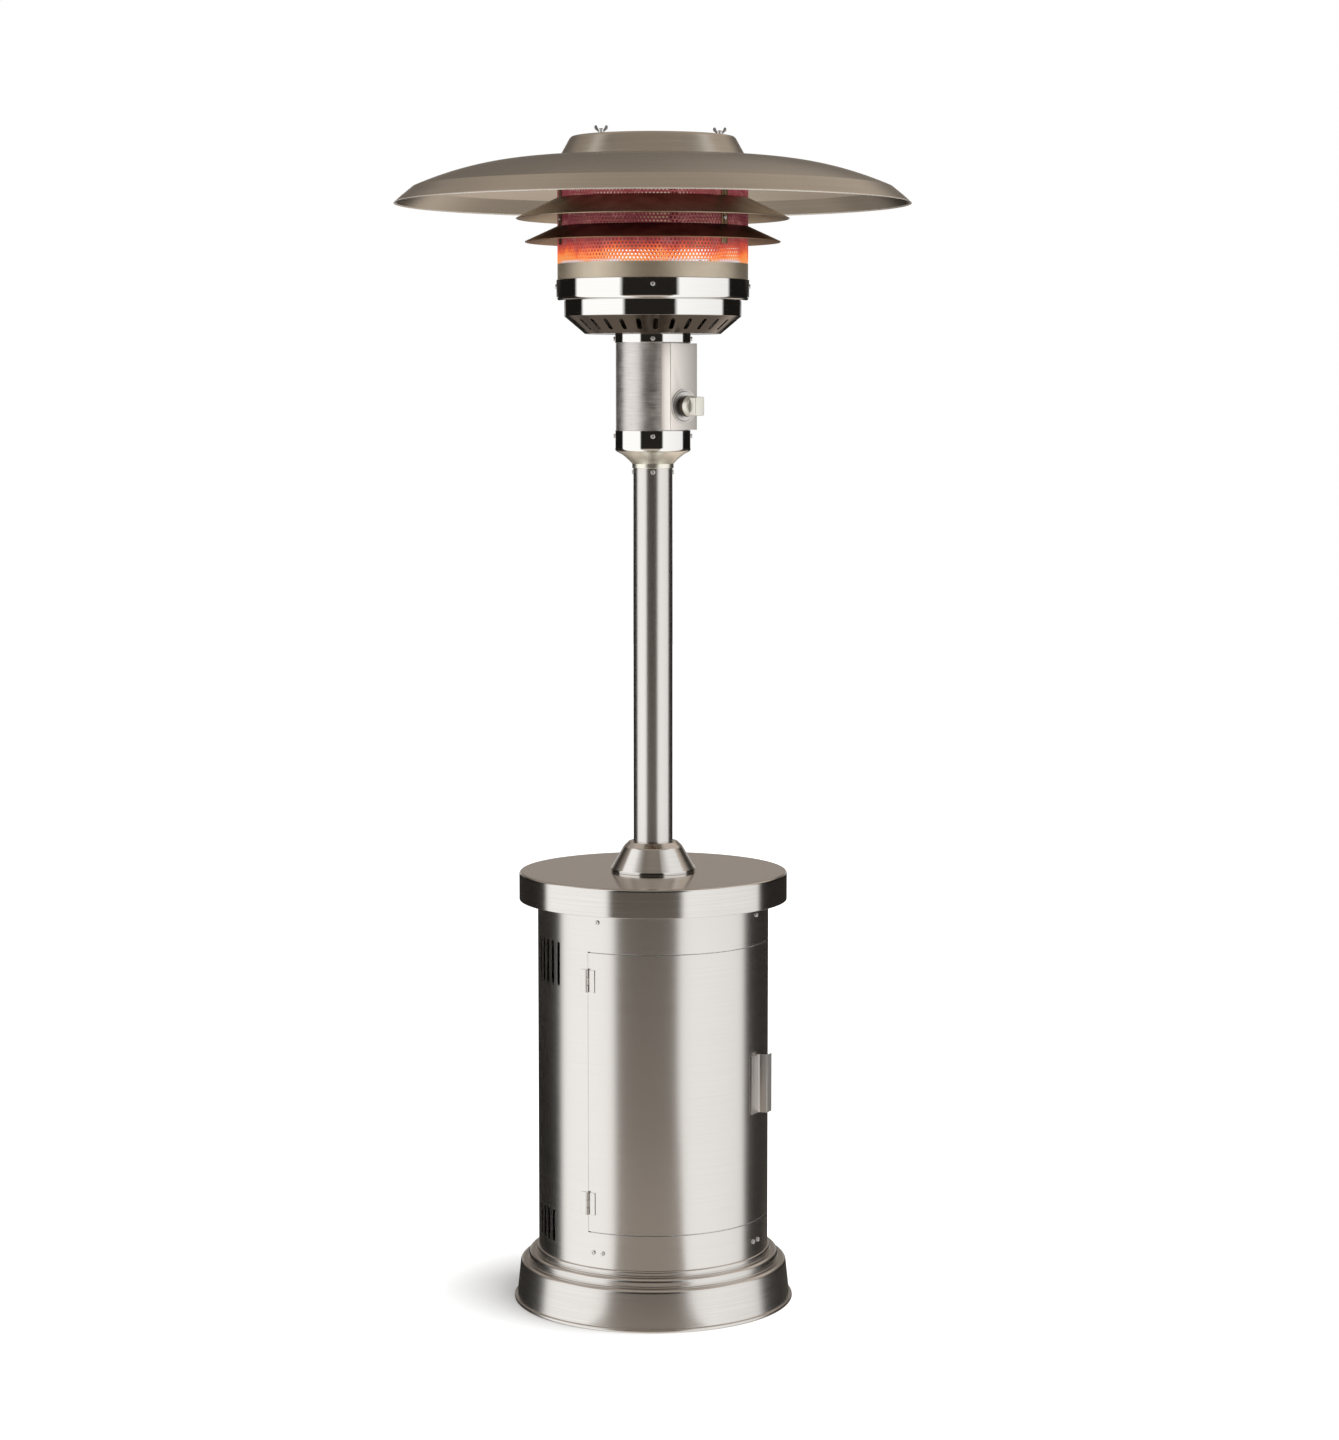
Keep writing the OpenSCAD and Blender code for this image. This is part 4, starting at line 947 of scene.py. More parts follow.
class RingTree(GrowTree):
    """Sets copies of a part in a ring, each pointing out from the main axis and turned by chance."""

    SEED = 7

    def __init__(self) -> None:
        """Builds the tree."""
        super().__init__("ring_of_parts")
        count = self.size("Count", "Int")
        circle = self.step("GeometryNodeMeshCircle", {"Vertices": count, "Radius": self.size("Radius")})
        rise = self.step("ShaderNodeCombineXYZ", {"Z": self.size("Height")})
        start = self.step("ShaderNodeCombineXYZ", {"Z": self.size("Start")})
        placed = self.step("GeometryNodeTransform",
                           {"Geometry": circle, "Translation": rise, "Rotation": start})
        level = self.add("ShaderNodeVectorMath", operation="MULTIPLY")
        self.join(self.here(), level.inputs[0])
        self.join((1.0, 1.0, 0.0), level.inputs[1])
        out = self.step("FunctionNodeAlignRotationToVector", {"Vector": level.outputs[0]}, axis="Z")
        chance = self.step("FunctionNodeRandomValue", {"Min": 0.0, "Max": math.pi, "Seed": self.SEED},
                           data_type="FLOAT")
        spun = self.step("FunctionNodeRotateRotation", {"Rotation": out, "Rotate By": self.spin(chance)},
                         rotation_space="LOCAL")
        self.close(self.step("GeometryNodeInstanceOnPoints", {"Points": placed, "Instance": self.geometry,
                                                              "Rotation": spun}))


class RepeatTree(GrowTree):
    """Repeats a sector round the main axis and merges the seams."""

    def __init__(self) -> None:
        """Builds the tree."""
        super().__init__("repeat_round_axis")
        count = self.size("Count", "Int")
        line = self.step("GeometryNodeMeshLine", {"Count": count, "Offset": (0.0, 0.0, 0.0)})
        index = self.step("GeometryNodeInputIndex", {})
        turn = self.product(index, self.calc("DIVIDE", 2 * math.pi, count))
        copies = self.step("GeometryNodeInstanceOnPoints", {"Points": line, "Instance": self.geometry,
                                                            "Rotation": self.spin(turn)})
        real = self.step("GeometryNodeRealizeInstances", {"Geometry": copies})
        self.close(self.step("GeometryNodeMergeByDistance", {"Geometry": real, "Distance": SEAM}))


class ScreenTree(GrowTree):
    """Makes a round screen with staggered holes."""

    def __init__(self) -> None:
        """Builds the tree."""
        super().__init__("perforated_screen")
        across, rows = (self.size(name, "Int") for name in ("Holes Round", "Rows"))
        radius, height, foot, opening = map(self.size, ("Radius", "Height", "Foot", "Opening"))
        wall = self.step("GeometryNodeMeshCylinder",
                         {"Vertices": across, "Side Segments": rows, "Radius": radius, "Depth": height},
                         fill_type="NONE")
        place = self.here()
        z = self.fed("ShaderNodeSeparateXYZ", {"Vector": place})[2]
        row = self.calc("DIVIDE", self.total(z, height), self.calc("DIVIDE", height, rows))
        odd = self.calc("MODULO", self.calc("ROUND", row), 2.0)
        shift = self.product(odd, self.calc("DIVIDE", math.pi, across))
        shifted = self.step("ShaderNodeVectorRotate", {"Vector": place, "Angle": shift},
                            rotation_type="Z_AXIS")
        staggered = self.step("GeometryNodeSetPosition", {"Geometry": wall, "Position": shifted})
        rise = self.step("ShaderNodeCombineXYZ", {"Z": self.total(foot, self.product(height, 0.5))})
        stood = self.step("GeometryNodeTransform", {"Geometry": staggered, "Translation": rise})
        threes = self.step("GeometryNodeTriangulate", {"Mesh": stood}, quad_method="SHORTEST_DIAGONAL")
        cells = self.step("GeometryNodeDualMesh", {"Mesh": threes, "Keep Boundaries": True})
        frames = self.fed("GeometryNodeExtrudeMesh",
                          {"Mesh": cells, "Offset Scale": 0.0, "Individual": True}, mode="FACES")
        shrunk = self.step("GeometryNodeScaleElements",
                           {"Geometry": frames["Mesh"], "Selection": frames["Top"], "Scale": opening},
                           domain="FACE")
        holed = self.step("GeometryNodeDeleteGeometry", {"Geometry": shrunk, "Selection": frames["Top"]},
                          domain="FACE")
        merged = self.step("GeometryNodeMergeByDistance", {"Geometry": holed, "Distance": SEAM})
        here = self.fed("ShaderNodeSeparateXYZ", {"Vector": self.here()})
        level = self.step("ShaderNodeCombineXYZ", {"X": here[0], "Y": here[1]})
        spoke = self.step("ShaderNodeVectorMath", {"Vector": level}, operation="NORMALIZE")
        scaled = self.step("ShaderNodeVectorMath", {"Vector": spoke, "Scale": radius}, operation="SCALE")
        ends = self.fed("ShaderNodeSeparateXYZ", {"Vector": scaled})
        true = self.step("ShaderNodeCombineXYZ", {"X": ends[0], "Y": ends[1], "Z": here[2]})
        self.close(self.step("GeometryNodeSetPosition", {"Geometry": merged, "Position": true}))


def add_piece(name: str, solid: Solid, finish: Finish, body: Body = Body.HEATER) -> bpy.types.Object:
    """Makes a finished piece that rides on a body and stands for the node of its name.

    Args:
        name: name of the piece.
        solid: its mesh, which is used up.
        finish: its finish.
        body: body that it rides on.
    Returns:
        The piece's object.
    """
    for face in solid.faces:
        face.smooth = True
        face.material_index = 0
    for edge in solid.edges:
        edge.smooth = not edge.is_manifold or edge.calc_face_angle(math.pi) < SHARP
    obj = as_object("look." + name, solid, finish.material())
    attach(obj, body.value)
    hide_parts(name)
    LOG.info("%s: %d faces on %s", obj.name, len(obj.data.polygons), body.value)
    return obj


def turned(node: str, section: Sequence[Corner], finish: Finish, steps: int, sides: int) -> None:
    """Adds a still piece that is turned from its section.

    Args:
        node: node that it stands for.
        section: radius, height and rounding of each corner.
        finish: its finish.
        steps: faces of each rounding.
        sides: faces round the main axis.
    """
    add_piece(node, lathe(rounded(section, steps), sides), finish)


def soften(*rows: tuple[str, Finish, float], body: Body = Body.HEATER) -> None:
    """Adds copies of nodes with rounded edges.

    Args:
        rows: node, finish and width of the rounding of each.
        body: body that they ride on.
    """
    for node, finish, width in rows:
        add_piece(node, softened(copied(node), width), finish, body)


def rounded_normals(obj: bpy.types.Object, level: float = 0.9) -> None:
    """Turns the normals of a round wall's faces straight out from the main axis.

    Args:
        obj: piece with the wall.
        level: how closely a face has to look along its radius to be part of the wall.
    """
    mesh = obj.data
    normals = [Vector(UP)] * len(mesh.loops)
    for polygon in mesh.polygons:
        for index in polygon.loop_indices:
            place = mesh.vertices[mesh.loops[index].vertex_index].co
            out = Vector((place.x, place.y, 0.0)).normalized()
            along = polygon.normal.dot(out)
            on_wall = abs(along) > level
            normals[index] = out * math.copysign(1.0, along) if on_wall else polygon.normal.copy()
    mesh.normals_split_custom_set(normals)


@dataclass
class Fasteners:
    """Cross-head screws, set in rings."""

    head_r: float = 3.6
    head_h: float = 2.2
    crown: float = 0.72
    crown_foot: float = 0.3
    crown_steps: int = 5
    shank_r: float = 2.0
    shank: float = 7.0
    strap_shank: float = 6.5
    slot_w: float = 0.9
    slot_len: float = 3.6
    slot_depth: float = 1.2
    slot_taper: float = 0.7
    sides: int = 28
    quarters: int = 4
    thirds: int = 3
    shell_az: float = -48.0
    pair_az: float = 2.59
    head_az: float = -20.0
    strap_az: float = 27.0

    def unit(self, shank: float) -> Solid:
        """Makes one screw that points along +Z.

        Args:
            shank: length of its shank.
        Returns:
            The screw's mesh.
        """
        flat = self.head_r * self.crown
        outline = [(self.shank_r, -shank), (self.shank_r, 0.0), (self.head_r, 0.0),
                   (self.head_r, self.head_h * self.crown_foot)]
        for k in range(1, self.crown_steps):
            turn = math.pi / 2 * k / self.crown_steps
            rise = self.crown_foot + (1 - self.crown_foot) * math.sin(turn)
            outline.append((flat + (self.head_r - flat) * math.cos(turn), self.head_h * rise))
        outline.append((flat, self.head_h))
        solid = bmesh.new()
        rings = [[solid.verts.new(polar(360 * i / self.sides, r, z)) for i in range(self.sides)]
                 for r, z in outline]
        for one, two in zip(rings, rings[1:]):
            bridge(solid, one, two)
        solid.faces.new(rings[0])
        wide, long = self.slot_w / 2, self.slot_len / 2
        cross = [(wide, wide), (long, wide), (long, -wide), (wide, -wide), (wide, -long), (-wide, -long),
                 (-wide, -wide), (-long, -wide), (-long, wide), (-wide, wide), (-wide, long), (wide, long)]
        ends = ((1.0, self.head_h), (self.slot_taper, self.head_h - self.slot_depth))
        rim, floor = ([solid.verts.new(Vector((x * share, y * share, z)) * MM) for x, y in cross]
                      for share, z in ends)
        edges = [solid.edges.get((rings[-1][i - 1], rings[-1][i])) for i in range(self.sides)]
        edges += [solid.edges.new((rim[i - 1], rim[i])) for i in range(len(rim))]
        bmesh.ops.triangle_fill(solid, use_beauty=True, edges=edges)
        bridge(solid, rim, floor)
        solid.faces.new(floor)
        bmesh.ops.recalc_face_normals(solid, faces=solid.faces)
        return solid

    def rings(self, tree: RingTree, node: str, r: float, count: int, rows: Sequence[Point],
              shank: float) -> None:
        """Sets screws in rings in place of a node.

        Args:
            tree: the tree that sets a ring.
            node: the node that they stand for.
            r: radius that the heads stand on.
            count: screws in a ring.
            rows: azimuth of the first screw and height of each ring.
            shank: length of a shank.
        """
        grown = [tree.grow(self.unit(shank), PLATED, Count=count, Radius=r * MM, Height=height * MM,
                           Start=math.radians(azimuth - 90)) for azimuth, height in rows]
        add_piece(node, joined(grown), PLATED)

    def build(self) -> None:
        """Makes every group of screws, at the places that the frame gives."""
        tree = RingTree()
        shell, post, cup, collar = (
            Span.of(node).r for node in ("cabinet_shell", "post", "head_cup", "burner_collar"))
        pair = (self.shell_az - self.pair_az, self.shell_az + self.pair_az)
        head = (self.head_az,)
        for node, r, azimuths in (("foot_screws", shell, pair), ("lid_screws", shell, (self.shell_az,)),
                                  ("collar_screws", post, head), ("cup_screws", cup, head),
                                  ("neck_screws", cup, head), ("burner_collar_screws", collar, head)):
            rows = [(azimuth, Span.of(node).middle) for azimuth in azimuths]
            self.rings(tree, node, r, self.quarters, rows, self.shank)
        bolts = Span.of("strap_bolts")
        rows = [(self.strap_az, z) for z in (bolts.foot + self.head_r, bolts.top - self.head_r)]
        self.rings(tree, "strap_bolts", collar, self.thirds, rows, self.strap_shank)


@dataclass
class Base:
    """Stepped base ring, floor pan and foot brackets."""

    sheet: float = SHEET
    bead_h: float = 6.0
    bead_w: float = 4.6
    skirt_h: float = 67.0
    skirt_lean: float = 6.5
    skirt_round: float = 7.0
    step_w: float = 13.0
    mid_h: float = 14.0
    mid_round: float = 9.0
    top_round: float = 3.0
    ledge_r: float = 148.0
    flange_w: float = 14.0
    fold: float = 0.5

    def build(self) -> None:
        """Turns the ring from its steps and softens the pieces inside it."""
        span = Span.of("base_ring")
        wall, bead, fold, skirt_h = self.sheet, self.bead_h, self.fold, self.skirt_h
        skirt = span.r - self.bead_w
        skirt_top = skirt - self.skirt_lean
        mid = skirt_top - self.step_w
        top = mid - self.step_w
        mid_top = skirt_h + self.mid_h
        flange = skirt - wall - self.flange_w
        turned("base_ring", [
            (flange, 0.0, EDGE), (span.r, 0.0, bead / 2), (span.r, bead, bead / 2), (skirt, bead, 0.8),
            (skirt_top, skirt_h, self.skirt_round), (mid, skirt_h, 1.4), (mid, mid_top, self.mid_round),
            (top, mid_top, 1.2), (top, span.top, self.top_round), (self.ledge_r, span.top, fold),
            (self.ledge_r, span.top - wall, fold), (top - wall, span.top - wall, self.top_round - wall),
            (top - wall, mid_top - wall, fold), (mid - wall, mid_top - wall, self.mid_round - wall),
            (mid - wall, skirt_h - wall, fold), (skirt_top - wall, skirt_h - wall, self.skirt_round - wall),
            (skirt - wall, bead, fold), (skirt - wall, wall, 0.6), (flange, wall, EDGE)],
            BASE_BRUSHED, steps=6, sides=192)
        soften(("base_pan", PAINTED, 0.6), ("base_brackets", PLATED, 0.35))


@dataclass
class Cabinet:
    """Shell, door with its hinges and handle, and the frame behind the door."""

    sheet: float = SHEET
    gap: float = 0.4
    hinge_az: float = -53.5
    latch_az: float = 58.0
    edge: float = 0.5
    leaf_w: float = 13.0
    leaf_t: float = 1.2
    leaf_lift: float = 0.1
    leaf_edges: Point = (0.2, 0.5)
    knuckle_r: float = 2.4
    knuckle_gap: float = 0.4
    knuckle_edges: Point = (0.1, 0.4)
    bore_r: float = 0.9
    web_gap: float = 0.3
    axis_out: float = 2.8
    hinge_h: float = 36.0
    handle_az: float = 40.63
    handle_out: float = 0.1
    handle_t: float = 1.6
    flange_w: float = 26.0
    rise_w: float = 3.0
    rise_h: float = 13.0
    lip_w: float = 15.0
    bends: Point = (0.8, 2.4)

    def shell(self) -> None:
        """Smooths the shell's walls and softens the frame behind the door."""
        rounded_normals(add_piece("cabinet_shell", copied("cabinet_shell"), CABINET_BRUSHED))
        soften(("door_jamb", PLATED, 0.35), ("door_magnet", PLASTIC, 0.35))

    def door(self) -> None:
        """Turns the door from its section, and softens its strike plate."""
        span = Span.of("cabinet_door")
        r = Span.of("cabinet_shell").r
        margin = math.degrees(self.gap / r)
        section = rounded(ring(r - self.sheet, r, span.foot, span.top, (self.edge, self.edge)), steps=3)
        sheet = lathe(section, sides=80, sweep=(self.hinge_az + margin, self.latch_az - margin))
        add_piece("cabinet_door", sheet, CABINET_BRUSHED, Body.DOOR)
        soften(("door_strike", PLATED, 0.3), body=Body.DOOR)

    def hinge_part(self, side: int, middle: float, knuckles: Sequence[Point]) -> list[Solid]:
        """Makes one leaf of a hinge with its knuckles.

        Args:
            side: -1 on the shell and 1 on the door.
            middle: height of the hinge's middle.
            knuckles: foot and top of each knuckle, from the middle.
        Returns:
            The meshes of the leaf and of its knuckles.
        """
        r = Span.of("cabinet_shell").r
        inner, half = r + self.leaf_lift, self.hinge_h / 2
        outer = inner + self.leaf_t
        widths = (self.web_gap, self.knuckle_r + self.web_gap, self.leaf_w)
        tie, near, far = (math.degrees(width / r) for width in widths)
        leaf = rounded(ring(inner, outer, middle - half, middle + half, self.leaf_edges), steps=3)
        ends = sorted((self.hinge_az + side * near, self.hinge_az + side * far))
        parts = [softened(lathe(leaf, sides=6, sweep=(ends[0], ends[1])), width=0.25)]
        axis = Matrix.Translation(polar(self.hinge_az, r + self.axis_out, 0))
        ties = sorted((self.hinge_az + side * tie, self.hinge_az + side * (near + tie)))
        for foot, top in knuckles:
            low, high = middle + foot, middle + top
            barrel = rounded(ring(self.bore_r, self.knuckle_r, low, high, self.knuckle_edges), steps=3)
            parts.append(moved(lathe(barrel, sides=28), axis))
            web = [(inner, low), (outer, low), (outer, high), (inner, high)]
            parts.append(lathe(web, sides=2, sweep=(ties[0], ties[1])))
        return parts

    def hinges(self) -> None:
        """Makes both hinges with their pins."""
        span = Span.of("hinge_frame_leaves")
        half = self.hinge_h / 2
        third = (self.hinge_h - 2 * self.knuckle_gap) / 6
        shell_parts: list[Solid] = []
        door_parts: list[Solid] = []
        for middle in (span.foot + half, span.top - half):
            outer = ((-half, -half + 2 * third), (half - 2 * third, half))
            shell_parts += self.hinge_part(-1, middle, outer)
            door_parts += self.hinge_part(1, middle, ((-third, third),))
        add_piece("hinge_frame_leaves", joined(shell_parts), CABINET_BRUSHED)
        add_piece("hinge_door_leaves", joined(door_parts), CABINET_BRUSHED, Body.DOOR)
        soften(("hinge_pins", PLATED, 0.25))

    def handle(self) -> None:
        """Bends the handle's strip: flange, rise and lip."""
        span = Span.of("door_handle")
        half, wall, rise = self.flange_w / 2, self.handle_t, self.rise_h
        inside, outside = self.bends
        bend = half + self.rise_w
        lip = bend + self.lip_w
        outline = rounded([
            (-half, 0.0, 0.3), (half, 0.0, inside), (bend, -rise, outside), (lip, -rise, self.edge),
            (lip, -rise - wall, self.edge), (bend - wall, -rise - wall, inside),
            (half - wall, -wall, outside), (-half, -wall, EDGE)], steps=5)
        strip = softened(prism(outline, span.foot, span.top), width=EDGE)
        r = Span.of("cabinet_shell").r + self.handle_out
        place = turn_about("Z", self.handle_az) @ Matrix.Translation(Vector((0, -r, 0)) * MM)
        add_piece("door_handle", moved(strip, place), SATIN, Body.DOOR)

    def build(self) -> None:
        """Makes the cabinet's pieces."""
        for step in (self.shell, self.door, self.hinges, self.handle):
            step()


@dataclass
class Lid:
    """Lid with its brackets and stiffener."""

    sheet: float = 2.0
    edge: float = 4.0
    way_r: float = 26.0
    hem: float = 1.2
    hem_h: float = 5.0
    hem_lean: float = 0.5
    hem_edge: float = 0.9

    def build(self) -> None:
        """Turns the lid and softens what is under it."""
        span = Span.of("lid")
        wall = self.sheet
        inside, hem, hem_top = span.r - wall, span.r - wall - self.hem, span.foot + self.hem_h
        turned("lid", [
            (self.way_r, span.top, EDGE), (span.r, span.top, self.edge), (span.r, span.foot, self.hem_edge),
            (hem, span.foot, self.hem_edge), (hem, hem_top, 0.6), (inside, hem_top + self.hem_lean, 0.3),
            (inside, span.top - wall, self.edge - wall), (self.way_r, span.top - wall, EDGE)],
            BRUSHED, steps=6, sides=192)
        soften(("lid_brackets", PLATED, 0.35), ("lid_stiffener", PLATED, 0.35))


@dataclass
class Post:
    """Post with its foot plate, cone cover and collar."""

    wall: float = 2.0
    sheet: float = SHEET
    top_edge: float = 0.5
    cover_edge: float = 4.0
    cover_top: float = 44.0
    way_gap: float = 0.2
    collar_edges: Point = (0.3, 0.8)

    def build(self) -> None:
        """Turns the post, its cover and its collar."""
        post, cover, collar = Span.of("post"), Span.of("post_cover"), Span.of("post_collar")
        bore, way = post.r - self.wall, post.r + self.way_gap
        turned("post", [
            (post.r, post.foot, EDGE), (post.r, post.top, self.top_edge), (bore, post.top, self.top_edge),
            (bore, post.foot, EDGE)], TUBE_BRUSHED, steps=3, sides=96)
        lip, wall, top = self.cover_edge, self.sheet, self.cover_top
        turned("post_cover", [
            (cover.r, cover.foot, 0.5), (cover.r, cover.foot + lip, 2.5),
            (top + lip, cover.top - 2 * lip, 9.0), (top, cover.top - lip, 3.0), (top - lip, cover.top, 2.5),
            (way, cover.top, EDGE), (way, cover.top - wall, EDGE),
            (top - lip - wall / 2, cover.top - wall, 1.5), (top - wall, cover.top - lip - wall / 2, 2.0),
            (top + lip - wall, cover.top - 2 * lip - wall / 2, 6.0),
            (cover.r - wall, cover.foot + lip - wall / 2, 1.0), (cover.r - wall, cover.foot, 0.5)],
            BRUSHED, steps=6, sides=128)
        turned("post_collar", ring(way, collar.r, collar.foot, collar.top, self.collar_edges),
               CUP_POLISHED, steps=4, sides=96)
        soften(("post_foot_plate", PAINTED, 0.5), ("post_foot_bolts", PLATED, 0.4))


@dataclass
class GasLine:
    """Inlet, pipe, grommet, valve, jet and mixing tube."""

    thread_pitch: float = 1.8
    thread_depth: float = 0.7
    crest: float = 0.3
    root: Point = (0.9, 1.2)
    chamfer: float = 1.2
    runout: float = 1.5
    neck: float = 1.0
    inlet_r: float = 7.9
    inlet_len: float = 16.0
    bore_r: float = 4.0
    nut_r: float = 11.0
    nut_sides: int = 6
    pipe_out: float = 18.0

    def inlet(self) -> None:
        """Makes the inlet: a hexagon and a nipple with ring grooves for its thread."""
        span = Span.of("gas_inlet")
        r, low, end = self.inlet_r, self.inlet_r - self.thread_depth, span.foot + self.inlet_len
        outline: list[Point] = [(self.bore_r, span.foot), (r - self.chamfer, span.foot)]
        z = span.foot + self.chamfer
        while z + self.thread_pitch < end - self.runout:
            outline += [(r, z), (r, z + self.crest), (low, z + self.root[0]), (low, z + self.root[1])]
            z += self.thread_pitch
        outline += [(r, end - self.neck), (r, end), (self.bore_r, end)]
        turns = [2 * math.pi * k / self.nut_sides for k in range(self.nut_sides)]
        corners = [(self.nut_r * math.cos(turn), self.nut_r * math.sin(turn)) for turn in turns]
        nut = softened(prism(corners, end, span.top), width=0.7)
        place = Matrix.Translation(polar(PANEL_AZ, self.pipe_out, 0))
        add_piece("gas_inlet", moved(joined((lathe(outline, sides=48), nut)), place), BRASS)

    def build(self) -> None:
        """Makes the inlet and softens the pieces that the casings hide."""
        self.inlet()
        soften(("gas_valve", BRASS, 0.8), ("gas_jet", BRASS, 0.4), ("mixing_tube", BURNER, 0.3),
               ("gas_pipe", COPPER, 0.2), ("pipe_grommet", RUBBER, 0.8), ("tilt_switch", PLASTIC, 0.8))
        soften(("valve_plunger", BRASS, 0.3), body=Body.PLUNGER)
        soften(("valve_stem", PLATED, 0.3), body=Body.KNOB)


@dataclass
class Head:
    """Cup, control housing with its box, bezel and knob, and the neck ring."""

    sheet: float = SHEET
    taper_h: float = 22.0
    taper_round: float = 9.0
    cove: float = 2.6
    cove_steps: int = 10
    cove_corners: int = 8
    way_r: float = 27.75
    rim_edge: float = 0.7
    flange_w: float = 20.0
    panel_d: float = 74.0
    bezel_r: float = 27.0
    bezel_t: float = 2.0
    dish_t: float = 0.9
    dish_rim: Point = (2.2, 4.2)
    nose_r: float = 8.2
    knob_foot: float = 80.4
    knob_r: float = 17.0
    knob_draft: float = 0.8
    skirt_h: float = 18.0
    knob_len: float = 31.0
    grip_w: float = 19.0
    grip_h: float = 30.0
    grip_round: float = 3.0
    sleeve_lap: float = 1.5
    stem_r: float = 4.05
    bore_end: float = 23.0

    def taper(self, start: Point, end: Point, turn: float) -> list[Corner]:
        """Line of the cup's taper, with a rounding at its upper end."""
        shares = [k / self.cove_steps for k in range(self.cove_corners)]
        return swollen(start, end, self.cove, shares) + [(*end, turn)]

    def casings(self) -> None:
        """Turns the cup, the housing and the neck ring, and softens the control box."""
        cup, housing, neck = Span.of("head_cup"), Span.of("control_housing"), Span.of("neck_ring")
        wall, rim = self.sheet, self.rim_edge
        inside, flange, ring_foot = cup.r - wall, cup.r - self.flange_w, cup.foot + self.taper_h
        start = Span.of("post_collar").r
        face = self.taper((start, cup.foot), (cup.r, ring_foot - wall), self.taper_round)
        lining = self.taper((start, cup.foot + 2 * wall), (inside - wall, ring_foot), EDGE)
        turned("head_cup", [
            (self.way_r, cup.foot, 0.3), *face, (cup.r, cup.top, rim), (inside, cup.top, EDGE),
            (inside, ring_foot, EDGE), *lining[::-1], (self.way_r, cup.foot + wall, 0.3)],
            CUP_POLISHED, steps=6, sides=128)
        turned("control_housing", ring(housing.r - wall, housing.r, housing.foot, housing.top),
               HOUSING_BRUSHED, steps=3, sides=128)
        turned("neck_ring", [
            (inside, neck.foot, EDGE), (cup.r, neck.foot, rim), (cup.r, neck.top, rim),
            (flange, neck.top, EDGE), (flange, neck.top - wall, EDGE), (inside, neck.top - wall, 0.5)],
            POLISHED, steps=4, sides=128)
        add_piece("control_box", softened(copied("control_box"), width=0.6, steps=3), BOX_SATIN_PAINTED_LIGHT)

    def knob(self) -> None:
        """Makes the bezel, and the knob with its round skirt and block grip."""
        knob_z = Span.of("control_knob").middle
        rim, floor = self.bezel_t, self.dish_t
        flat, slope = (self.bezel_r - width for width in self.dish_rim)
        dish = rounded([
            (self.nose_r, 0.0, 0.1), (self.bezel_r, 0.0, 0.2), (self.bezel_r, rim, 0.7), (flat, rim, 0.7),
            (slope, floor, 0.6), (self.nose_r, floor, 0.2)], steps=4)
        bezel = moved(lathe(dish, sides=72), outward(PANEL_AZ, self.panel_d, knob_z))
        add_piece("knob_bezel", bezel, SATIN)
        skirt_r = self.knob_r - self.knob_draft
        skirt = rounded([
            (self.stem_r, 0.0, 0.2), (self.knob_r, 0.0, 0.8), (skirt_r, self.skirt_h, 2.2),
            (self.stem_r, self.skirt_h, 0.2)], steps=5)
        wide, tall, turn = self.grip_w / 2, self.grip_h / 2, self.grip_round
        block = rounded(ring(-wide, wide, -tall, tall, (turn, turn)), steps=6)
        grip = softened(prism(block, self.bore_end, self.knob_len), width=1.3, steps=4)
        sleeve = prism(block, self.skirt_h - self.sleeve_lap, self.bore_end + self.sleeve_lap)
        knob = joined((lathe(skirt, sides=64), sleeve, grip))
        add_piece("control_knob", moved(knob, outward(PANEL_AZ, self.knob_foot, knob_z)), KNOB, Body.KNOB)

    def build(self) -> None:
        """Makes the head's pieces."""
        self.casings()
        self.knob()


